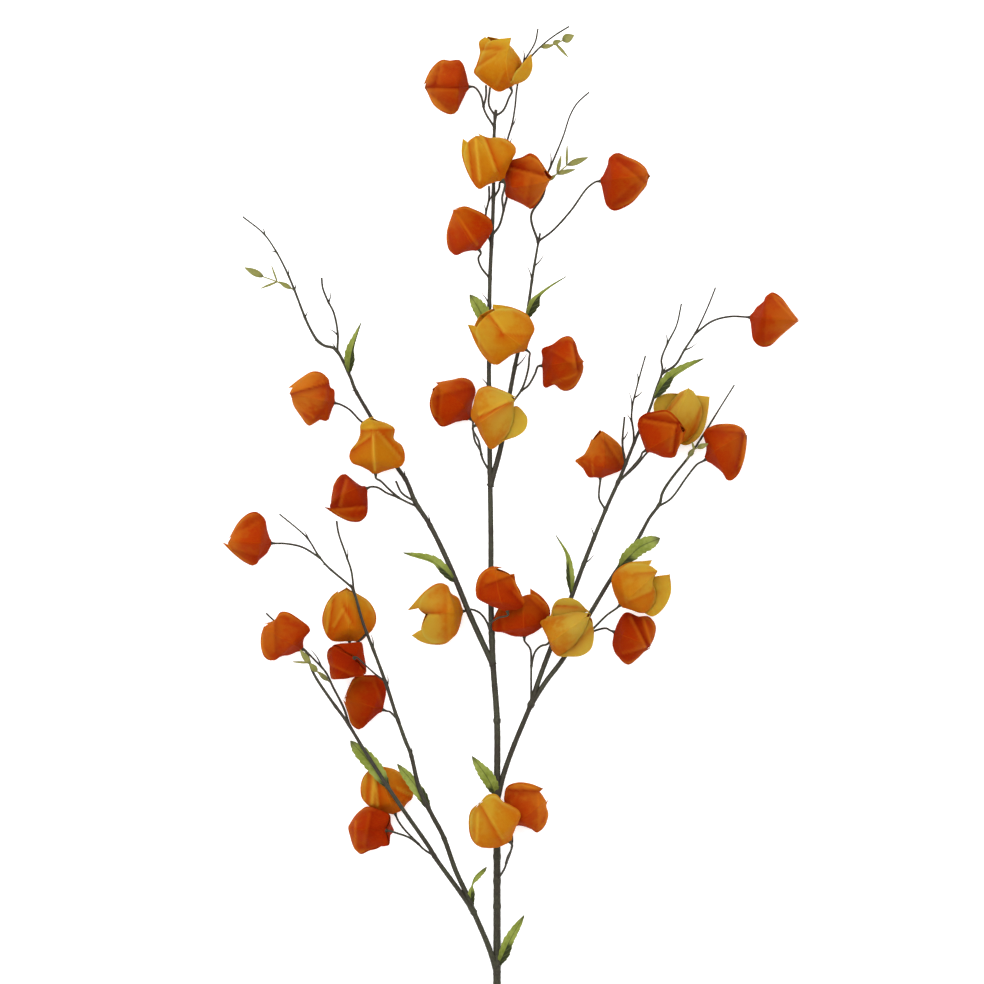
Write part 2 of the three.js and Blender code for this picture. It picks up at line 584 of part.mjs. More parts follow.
// Sprigs: a thin stalk and its small blades. Each blade is a base, a tip and a half width.
const SPRIGS = [
  {
    on: 'left_high_branch',
    stalk: [[295, 291], [277, 282, 21], [263, 277, 22]],
    blades: [
      [[292, 289], [279, 282], 3.2], [[264, 277], [245, 268], 4.6],
      [[278, 282], [272, 266], 1.2], [[277, 283], [261, 289], 1.5],
    ],
  },
  {
    on: 'main_stem',
    stalk: [[540, 48], [556, 44, 15], [565, 40, 16]],
    blades: [
      [[541, 48], [553, 46], 3.2], [[553, 45], [560, 41], 3.6],
      [[562, 41], [574, 36], 6], [[556, 46], [568, 58], 2],
    ],
  },
  {
    on: 'centre_branch',
    stalk: [[547, 183], [556, 175, 16], [568, 165, 18]],
    blades: [
      [[549, 181], [556, 175], 2.4], [[557, 175], [575, 170], 3], [[557, 174], [561, 156], 2.4],
      [[566, 166], [567, 146], 1.6], [[567, 166], [588, 158], 4.2],
    ],
  },
  {
    on: 'left_low_branch',
    stalk: [[331, 682], [318, 671, 42], [310, 662, 44]],
    blades: [
      [[329, 680], [318, 671], 3.2], [[318, 671], [310, 662], 4],
      [[311, 664], [301, 649], 4], [[306, 663], [294, 661], 1.4],
    ],
  },
  {
    on: 'right_branch',
    stalk: [[685, 461], [693, 450, 42], [699, 447, 50]],
    blades: [
      [[688, 457], [694, 448], 3.6], [[693, 449], [691, 442], 1.6], [[696, 448], [707, 444], 3.6],
    ],
  },
];

// ---------------------------------------------------------------------------------------
// Solids

/** Places a point of the layout board in the part's own frame. */
const onBoard = (u, v, h) => new THREE.Vector3(u - BOARD_MIDDLE.u, BOARD_MIDDLE.v - v, h);

/** Gives a repeatable number from -1 to 1 for a piece and a purpose. */
function wobble(piece, purpose) {
  const wave = Math.sin(piece * 12.9898 + purpose * 78.233) * 43758.5453;
  return 2 * (wave - Math.floor(wave)) - 1;
}

/**
 * Skins a row of rings into one closed solid. Each ring runs anticlockwise about the row's
 * direction. On a blade the first half of a ring is its outer face and the second half its
 * inner face, and both are split into triangles alike.
 */
function loft(rings) {
  const sides = rings[0].length;
  const half = sides / 2;
  const triangles = [];
  for (let ring = 0; ring < rings.length - 1; ring += 1) {
    for (let k = 0; k < sides; k += 1) {
      const a = ring * sides + k;
      const b = ring * sides + ((k + 1) % sides);
      const [c, d] = [b + sides, a + sides];
      triangles.push(...(k < half ? [a, b, c, a, c, d] : [a, b, d, b, c, d]));
    }
  }
  const last = sides * (rings.length - 1);
  for (let k = 0; k < half - 1; k += 1) {
    const [a, b, c, d] = [k, k + 1, sides - 2 - k, sides - 1 - k];
    triangles.push(a, d, c, a, c, b);
    triangles.push(last + a, last + b, last + c, last + a, last + c, last + d);
  }
  return new wasm.Manifold(new wasm.Mesh({
    numProp: 3,
    vertProperties: new Float32Array(rings.flat().flatMap((point) => point.toArray())),
    triVerts: new Uint32Array(triangles),
  }));
}

/** Lofts round sections along a row of centres, each with its radius. */
function roundLoft(centres, radii, sides) {
  const across = new THREE.Vector3();
  const rings = centres.map((centre, i) => {
    const from = centres[Math.max(i - 1, 0)];
    const to = centres[Math.min(i + 1, centres.length - 1)];
    const along = to.clone().sub(from).normalize();
    if (i === 0) across.crossVectors(along, UP);
    across.addScaledVector(along, -across.dot(along)).normalize();
    const down = along.clone().cross(across);
    return Array.from({ length: sides }, (_, k) => {
      const angle = (2 * Math.PI * k) / sides;
      return centre.clone()
        .addScaledVector(across, radii[i] * Math.cos(angle))
        .addScaledVector(down, radii[i] * Math.sin(angle));
    });
  });
  return loft(rings);
}

/**
 * Gives thickness to a sheet of points, whose rows run from its root to its tip. The outer face
 * is the one on the left of a row's direction as its points are counted.
 */
function blade(rows, thickness) {
  const normalOf = (i, j) => {
    const long = rows[i + 1][j].clone().sub(rows[i][j + 1]);
    const short = rows[i + 1][j + 1].clone().sub(rows[i][j]);
    return short.cross(long).normalize();
  };
  const rings = rows.map((row, i) => {
    const outer = [];
    const inner = [];
    row.forEach((point, j) => {
      const faces = [];
      for (const fi of [i - 1, i]) {
        for (const fj of [j - 1, j]) {
          const inside = fi >= 0 && fj >= 0 && fi < rows.length - 1 && fj < row.length - 1;
          if (inside) faces.push(normalOf(fi, fj));
        }
      }
      const normal = faces.reduce((sum, face) => sum.add(face), new THREE.Vector3()).normalize();
      const slope = Math.min(...faces.map((face) => face.dot(normal)));
      const reach = thickness / 2 / Math.max(slope, 0.6);
      outer.push(point.clone().addScaledVector(normal, reach));
      inner.unshift(point.clone().addScaledVector(normal, -reach));
    });
    return [...outer, ...inner];
  });
  return loft(rings);
}

/** Keeps the largest piece of a solid that a cut has left in several. */
function largest(solid) {
  const pieces = solid.decompose();
  return pieces.reduce((best, piece) => (piece.volume() > best.volume() ? piece : best));
}

/** Makes a named mesh of a solid. */
function meshOf(name, solid, material) {
  const { vertProperties, triVerts } = solid.getMesh();
  const geometry = new THREE.BufferGeometry();
  geometry.setAttribute('position', new THREE.BufferAttribute(vertProperties, 3));
  geometry.setIndex(new THREE.BufferAttribute(triVerts, 1));
  const mesh = new THREE.Mesh(geometry, material);
  mesh.name = name;
  return mesh;
}

// ---------------------------------------------------------------------------------------
// Lanterns

/** Works out where a lantern stands and the directions along, to the right of and above it. */
function lanternFrame({ base, tip, lift = 0 }) {
  const height = base[2] ?? 0;
  const foot = onBoard(base[0], base[1], height);
  const level = onBoard(tip[0], tip[1], height).sub(foot);
  const slope = THREE.MathUtils.degToRad(lift);
  const length = level.length() / Math.cos(slope);
  level.normalize();
  const along = level.clone().multiplyScalar(Math.cos(slope)).addScaledVector(UP, Math.sin(slope));
  const right = along.clone().cross(UP).normalize();
  const above = right.clone().cross(along);
  return { foot, level, slope, along, right, above, length };
}

/** Takes a board place into a lantern's own directions: x ahead, y to its right, z above it. */
function localPlace({ foot, level, right, slope }, [u, v, h = 0]) {
  const off = onBoard(u, v, foot.z).sub(foot);
  const ahead = (off.dot(level) + h * Math.sin(slope)) / Math.cos(slope);
  return new THREE.Vector3(ahead, off.dot(right), h);
}

/** Keeps the two ends of a line and the two points between them that follow its run best. */
function fourOf(points) {
  const last = points.length - 1;
  let best = { miss: Infinity };
  for (let i = 1; i < last - 1; i += 1) {
    for (let j = i + 1; j < last; j += 1) {
      const kept = [0, i, j, last];
      const miss = points.reduce((sum, point, k) => {
        const end = kept.findIndex((stop) => stop >= k) || 1;
        const run = new THREE.Line3(points[kept[end - 1]], points[kept[end]]);
        return sum + run.closestPointToPoint(point, true, new THREE.Vector3()).distanceTo(point);
      }, 0);
      if (miss < best.miss) best = { miss, kept };
    }
  }
  return best.kept.map((k) => points[k]);
}

/** Runs a line from the lantern's root through board places. */
function placedLine(frame, places) {
  return fourOf([new THREE.Vector3(), ...places.map((place) => localPlace(frame, place))]);
}

/** Lays one keel of a lantern: its root, shoulder, cheek and tip in the lantern's directions. */
function keelOf(lantern, frame, number, side) {
  const { girth, mouth, flat = 1, turn = 0, short = 1 } = lantern;
  const index = PETAL_SIDES.indexOf(side);
  const roll = THREE.MathUtils.degToRad(turn);
  const standing = KEEL_STATIONS.map(({ radius, open }) => girth * (radius + mouth * open));
  const places = { right: lantern.right, left: lantern.left }[side];
  if (places) {
    const out = side === 'right' ? PETAL_LAYER : -PETAL_LAYER;
    return placedLine(frame, places).map(({ x, y, z }, k) => (
      new THREE.Vector3(x, y + (k ? out : 0), z - y * Math.sin(roll) * flat)
    ));
  }
  if (side === 'up' && lantern.over) {
    return placedLine(frame, lantern.over).map(({ x, y }, k) => new THREE.Vector3(x, y, flat * standing[k]));
  }
  const angle = (Math.PI / 2) * index + roll;
  const scatter = TIP_SCATTER * wobble(number * PETAL_SIDES.length + index, 1);
  const reach = frame.length * (index % 2 ? 1 : short);
  const beside = lantern.right
    ? [lantern.right, lantern.left].map((line) => placedLine(frame, line)) : [];
  return KEEL_STATIONS.map(({ along, least, most, open }, k) => {
    const middle = beside.reduce((sum, line) => sum + line[k].x / 2 / frame.length, 0);
    const at = beside.length ? THREE.MathUtils.clamp(middle, least, most) : along;
    return new THREE.Vector3(
      reach * at * (1 + scatter * open),
      standing[k] * Math.sin(angle),
      standing[k] * Math.cos(angle) * flat,
    );
  });
}

/** Finds the line that a petal reaches towards beside it, and how much further than usual. */
function besideOf(lantern, frame, number, side, beside) {
  const { waist = {}, flap = {} } = lantern;
  const lowered = (places, depth) => {
    const line = placedLine(frame, places);
    return line.map(({ x, y, z }) => new THREE.Vector3(x, y, z - depth));
  };
  const full = 1 / PETAL_ROWS[1].cover;
  if (waist[beside]) return { line: lowered(waist[beside], 0), more: full };
  if (flap[side]) return { line: lowered(flap[side], FLAP_DEPTH[beside]), more: full };
  if (waist[side]) return { line: lowered(waist[side], TUCK_DEPTH[beside]), more: full * TUCK };
  const outer = side === 'up' || side === 'under';
  return { line: keelOf(lantern, frame, number, beside), more: outer ? OUTER_COVER : 1 };
}

/** Lays out one petal's rows of points, from the lantern's axis to the petal's tip. */
function petalRows(lantern, number, index) {
  const frame = lanternFrame(lantern);
  const side = PETAL_SIDES[index];
  const layer = PETAL_LAYER * (index % 2 ? -1 : 1);
  const angle = (Math.PI / 2) * index;
  const outward = new THREE.Vector3(0, Math.sin(angle), Math.cos(angle));
  const sideways = new THREE.Vector3(0, Math.cos(angle), -Math.sin(angle));
  const keel = keelOf(lantern, frame, number, side);
  const [before, after] = [-1, 1].map((step) => (
    besideOf(lantern, frame, number, side, PETAL_SIDES.at((index + step) % PETAL_SIDES.length))
  ));
  const root = new THREE.Vector3(ROOT_SHARE * frame.length, 0, 0);
  const last = PETAL_ROWS.length - 1;

  return PETAL_ROWS.map(({ cover, apart, ahead }, row) => [-1, 0, 1].map((t) => {
    const { line, more } = t < 0 ? before : after;
    const share = Math.abs(t) * cover * more;
    const own = row ? keel[row] : root;
    const point = own.clone().lerp(line[row], row ? share : 0);
    point.addScaledVector(outward, layer * apart * (1 - share));
    point.addScaledVector(sideways, layer * apart * share * t);
    if (!row) point.addScaledVector(sideways, ROOT_HALF * lantern.girth * t);
    if (row === last) point.addScaledVector(sideways, TIP_HALF * t);
    point.x -= layer * ahead;
    return frame.foot.clone()
      .addScaledVector(frame.along, point.x)
      .addScaledVector(frame.right, point.y)
      .addScaledVector(frame.above, point.z);
  }));
}

/** Makes two opposite petals as one folded blade that runs from tip to tip across the base. */
function petalPair(lantern, number, index) {
  const [near, far] = [index, index + 2].map((side) => petalRows(lantern, number, side));
  const back = near.slice(1).map((row) => row.reverse()).reverse();
  return blade([...back, ...far], BLADE);
}

/** Makes a lantern and finds where its twig ends; one without a height is set on the table. */
function buildLantern(lantern, number) {
  const { foot, along, length } = lanternFrame(lantern);
  const peg = [-1, 1].map((end) => (
    foot.clone().addScaledVector(along, ROOT_SHARE * length + end * PETAL_ROWS[0].ahead * PETAL_LAYER)
  ));
  let solid = roundLoft(peg, [PEG_RADIUS, PEG_RADIUS], PEG_SIDES);
  for (const index of [0, 1]) solid = solid.add(petalPair(lantern, number, index));
  solid = largest(solid);
  if (lantern.base[2] === undefined) {
    const drop = -TABLE_FLAT - solid.boundingBox().min[2];
    solid = solid.translate([0, 0, drop]).trimByPlane([0, 0, 1], 0);
    foot.z += drop;
  }
  return { solid, foot, along };
}

// ---------------------------------------------------------------------------------------
// Stems

/** Fills in the heights that a row of points leaves out, evenly between those that have one. */
function levelled(points) {
  const travelled = points.map(() => 0);
  for (let i = 1; i < points.length; i += 1) {
    const step = Math.hypot(points[i].x - points[i - 1].x, points[i].y - points[i - 1].y);
    travelled[i] = travelled[i - 1] + step;
  }
  points.forEach((point, i) => {
    if (Number.isFinite(point.z)) return;
    const after = points.findIndex((other, j) => j > i && Number.isFinite(other.z));
    const share = (travelled[i] - travelled[i - 1]) / (travelled[after] - travelled[i - 1]);
    point.z = THREE.MathUtils.lerp(points[i - 1].z, points[after].z, share);
  });
  return points;
}

/** Finds the point of some centre lines that lies nearest in plan to a place on the board. */
function nearest(lines, u, v) {
  const place = onBoard(u, v, 0);
  const gap = (point) => Math.hypot(point.x - place.x, point.y - place.y);
  return lines.flat().reduce((best, point) => (gap(point) < gap(best) ? point : best)).clone();
}

/** Lays one run: its centre line, and the centres and radii of its sections. */
function layRun(run, carrier, lantern) {
  const points = run.path.map(([u, v, h]) => onBoard(u, v, h ?? NaN));
  if (carrier) points[0] = nearest([carrier.line], run.path[0][0], run.path[0][1]);
  if (lantern) {
    for (const back of [CAP_LENGTH, FIT_GAP]) {
      points.push(lantern.foot.clone().addScaledVector(lantern.along, -back));
    }
  }
  levelled(points);
  const curve = new THREE.CatmullRomCurve3(points);
  const [thick, thin] = run.r ?? TWIG_RADII;
  const pitch = thick > THICK_RUN ? THICK_PITCH : TWIG_PITCH;
  const spans = points.length - 1;
  const centres = [points[0]];
  for (let i = 0; i < spans; i += 1) {
    const steps = Math.max(1, Math.round(points[i].distanceTo(points[i + 1]) / pitch));
    for (let k = 1; k <= steps; k += 1) centres.push(curve.getPoint((i + k / steps) / spans));
  }
  const lengths = centres.map((centre, i) => (i ? centre.distanceTo(centres[i - 1]) : 0));
  const total = lengths.reduce((sum, step) => sum + step);
  let travelled = 0;
  const radii = lengths.map((step) => {
    travelled += step;
    return thick + (thin - thick) * (travelled / total) ** (run.taper ?? 1);
  });
  if (lantern) radii[radii.length - 1] = CAP_RADIUS;
  return {
    line: curve.getSpacedPoints(Math.ceil(total)),
    centres,
    radii,
    sides: run.sides ?? (thick > THICK_RUN ? 6 : 4),
  };
}

/** Makes a run's solid, as it is or grown all round by a clearance. */
function runSolid({ centres, radii, sides }, clearance = 0) {
  return roundLoft(centres, radii.map((radius) => radius + clearance), sides);
}

/** Makes a bud spur, from the centre of its run to its point. */
function spur(run, root, point) {
  return roundLoft([nearest([run.line], ...root), onBoard(...point)], SPUR_RADII, SPUR_SIDES);
}

// ---------------------------------------------------------------------------------------
// Leaves and sprigs

/** Makes a leaf: a toothed blade that follows its midrib. */
function leafSolid({ rib, left, right, fold }, root) {
  const points = rib.map(([u, v, h], i) => (i ? onBoard(u, v, h) : root));
  const curve = new THREE.CatmullRomCurve3(points);
  const rise = Math.tan(THREE.MathUtils.degToRad(fold));
  const rows = LEAF_STATIONS.map((share, i) => {
    const along = curve.getTangentAt(share);
    const side = along.clone().cross(UP).normalize();
    const above = side.clone().cross(along);
    const tooth = i % 2 ? LEAF_TOOTH : 1;
    return [-1, 0, 1].map((t) => {
      const half = (t < 0 ? left : right)[i - 1] ?? LEAF_EDGE;
      const reach = Math.max(half * tooth, LEAF_EDGE);
      return curve.getPointAt(share)
        .addScaledVector(side, t * reach)
        .addScaledVector(above, Math.abs(t) * reach * rise);
    });
  });
  return blade(rows, LEAF_BLADE);
}

/** Makes one small flat blade of a sprig, which rises a little to its tip. */
function bract(line, [base, tip, half]) {
  const from = nearest([line], ...base);
  const to = onBoard(tip[0], tip[1], from.z + SPRIG_RISE);
  const side = to.clone().sub(from).cross(UP).normalize();
  const rows = SPRIG_STATIONS.map((station) => [-1, 1].map((t) => (
    from.clone().lerp(to, station.along).addScaledVector(side, t * Math.max(half * station.half, LEAF_EDGE))
  )));
  return blade(rows, LEAF_BLADE);
}

/** Makes a sprig: its stalk and its small blades, in one piece. */
function sprigSolid({ stalk, blades }, root) {
  const points = stalk.map(([u, v, h], i) => (i ? onBoard(u, v, h) : root));
  const line = new THREE.CatmullRomCurve3(points).getSpacedPoints(LINE_STEPS);
  const radii = points.map((_, i) => (i ? STALK_RADII[1] : STALK_RADII[0]));
  return blades.reduce((solid, part) => solid.add(bract(line, part)), roundLoft(points, radii, 4));
}

// ---------------------------------------------------------------------------------------
// The spray

const spray = new THREE.Group();
const lanterns = LANTERNS.map(buildLantern);
const runs = new Map();
const numbered = (name, index) => `${name}_${String(index + 1).padStart(2, '0')}`;
const runsOf = (branch) => [...runs].filter(([key]) => key.startsWith(`${branch}.`)).map(([, run]) => run);

for (const [branch, plan] of Object.entries(BRANCHES)) {
  for (const [name, run] of Object.entries(plan)) {
    const carrier = runs.get(run.on) ?? runs.get(`${branch}.${run.on}`);
    runs.set(`${branch}.${name}`, layRun(run, carrier, lanterns[run.to - 1]));
  }
}

const stemGap = runSolid(runs.get('main_stem.stem'), FIT_GAP);
const cleared = {};
for (const branch of Object.keys(BRANCHES)) {
  const stems = runsOf(branch).map((run) => runSolid(run));
  const spurs = SPURS[branch].map(([run, ...ends]) => spur(runs.get(`${branch}.${run}`), ...ends));
  let solid = [...stems, ...spurs].reduce((whole, piece) => whole.add(piece));
  if (branch === 'main_stem') {
    solid = solid.trimByPlane([0, 0, 1], 0);
  } else {
    solid = largest(solid.subtract(stemGap));
  }
  spray.add(meshOf(branch, solid, FINISH.bark));
  const grown = runsOf(branch).map((run) => runSolid(run, FIT_GAP));
  cleared[branch] = grown.reduce((whole, run) => whole.add(run));
}

lanterns.forEach(({ solid }, index) => {
  spray.add(meshOf(numbered('lantern', index), solid, FINISH[LANTERNS[index].hue]));
});

const shoots = [['leaf', LEAVES, leafSolid], ['sprig', SPRIGS, sprigSolid]];
for (const [name, plans, make] of shoots) {
  plans.forEach((plan, index) => {
    const [u, v] = (plan.rib ?? plan.stalk)[0];
    const root = nearest(runsOf(plan.on).map((run) => run.line), u, v);
    const solid = largest(make(plan, root).subtract(cleared[plan.on]));
    spray.add(meshOf(numbered(name, index), solid, FINISH[name]));
  });
}

export default spray;
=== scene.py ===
"""Dresses a tall artificial Chinese lantern spray that lies on its back on a table.

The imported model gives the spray's plain solids. Each of them is replaced here by a finer piece
of the same form: round stems with knuckles and bud spurs, lanterns of four folded cloth petals,
toothed leaves with veins, and small moulded sprigs.

Sizes are in millimetres and turned into metres as a mesh is made. Places are given on the
layout board that the spray lies on: u to the right of the board's left edge, v down from its
far edge, and h above the table. A place without h takes its height from what carries it, or
lies on the table.
"""

import logging
import math
from dataclasses import dataclass, field
from enum import Enum
from typing import Any, ClassVar

import bpy
import numpy as np
from bpy.types import ID, Material, Node, NodeSocket, NodeTree, Object
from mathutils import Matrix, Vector


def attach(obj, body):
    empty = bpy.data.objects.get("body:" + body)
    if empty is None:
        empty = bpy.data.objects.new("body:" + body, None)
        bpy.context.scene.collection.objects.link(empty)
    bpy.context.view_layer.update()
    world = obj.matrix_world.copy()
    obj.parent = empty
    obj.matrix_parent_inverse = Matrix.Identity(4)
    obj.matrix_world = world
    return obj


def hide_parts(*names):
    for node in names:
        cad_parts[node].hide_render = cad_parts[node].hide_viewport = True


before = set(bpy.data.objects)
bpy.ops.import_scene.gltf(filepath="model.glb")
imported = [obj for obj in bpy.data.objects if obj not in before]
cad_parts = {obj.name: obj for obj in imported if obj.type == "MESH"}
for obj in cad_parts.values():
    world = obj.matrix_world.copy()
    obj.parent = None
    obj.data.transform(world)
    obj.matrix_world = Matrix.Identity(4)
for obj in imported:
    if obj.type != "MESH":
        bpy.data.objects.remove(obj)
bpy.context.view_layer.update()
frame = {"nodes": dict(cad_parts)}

log = logging.getLogger("lantern_spray")

MM = 0.001
CENTIMETRE = 10
BOARD_MIDDLE = (511.0, 525.5)
UP = np.array([0.0, 0.0, 1.0])
FIT_GAP = 0.3
LEAST_LENGTH = 1e-12
LEAST_GAP = 1e-6

Array = np.ndarray
Place = tuple[float, ...]


class Hue(Enum):
    """The dye of a lantern's cloth, by the record's material slot."""

    RED = "red_fabric"
    AMBER = "amber_fabric"


class Side(Enum):
    """Where a petal stands round its lantern, in quarter turns."""

    UP = 0
    RIGHT = 1
    UNDER = 2
    LEFT = 3


@dataclass(frozen=True)
class Run:
    """One round run of a branch.

    path holds its places, on names the run that it grows from, radii are those of its root and
    end, taper bends the change between them, and to is the number of the lantern it carries.
    """

    path: tuple[Place, ...]
    on: str | None = None
    radii: tuple[float, float] = (1.15, 1.05)
    taper: float = 1.0
    to: int | None = None


@dataclass(frozen=True)
class LanternPlan:
    """A lantern's dye, its places of base and tip, and how its petals run.

    right and left are the places that the keels of its side petals run through. folds are
    creases of its near face: two places and a height, with painted shade on the right-hand
    side of the way from the first to the second, and a painted highlight beside it if it is
    sunk and along it if it is raised. girth is the radius at the shoulders, mouth the share of
    it that stays open at the tip, lift the slope in degrees, flat the share of its depth that
    it keeps, turn its roll in degrees, soft how gently its upper keel turns over, and short the
    share of its length that its upper and under petals reach. warm is how much yellower, or
    below 0 how much redder, its dye is than usual. over holds places of the upper keel, waist
    the line that the upper and under petals keep to where a side petal stands away, and flap
    the inner edge of such a petal, with heights above the axis.
    """

    hue: Hue
    base: Place
    tip: Place
    right: tuple[Place, ...] = ()
    left: tuple[Place, ...] = ()
    folds: tuple[Place, ...] = ()
    girth: float = 26.0
    mouth: float = 0.3
    lift: float = 0.0
    flat: float = 1.0
    turn: float = 0.0
    soft: float = 0.22
    short: float = 1.0
    warm: float = 0.0
    over: tuple[Place, ...] = ()
    waist: dict[Side, tuple[Place, ...]] = field(default_factory=dict)
    flap: dict[Side, tuple[Place, ...]] = field(default_factory=dict)


@dataclass(frozen=True)
class LeafPlan:
    """A leaf's branch, its midrib, and how its two halves spread.

    left and right are the halves' widths in plan at the inner leaf stations. fold is how far
    both stand up from level, in degrees, and dark the share of the length, from the base, along
    which the left and the right half carry painted shade, dark as if turned away from the light.
    """

    branch: str
    rib: tuple[Place, ...]
    left: tuple[float, ...]
    right: tuple[float, ...]
    fold: float
    dark: tuple[float, float] = (0.0, 0.0)


@dataclass(frozen=True)
class SprigPlan:
    """A sprig's branch, its stalk, and its small blades by base, tip and half width."""

    branch: str
    stalk: tuple[Place, ...]
    blades: tuple[tuple[Place, Place, float], ...]


# --- Layout ---

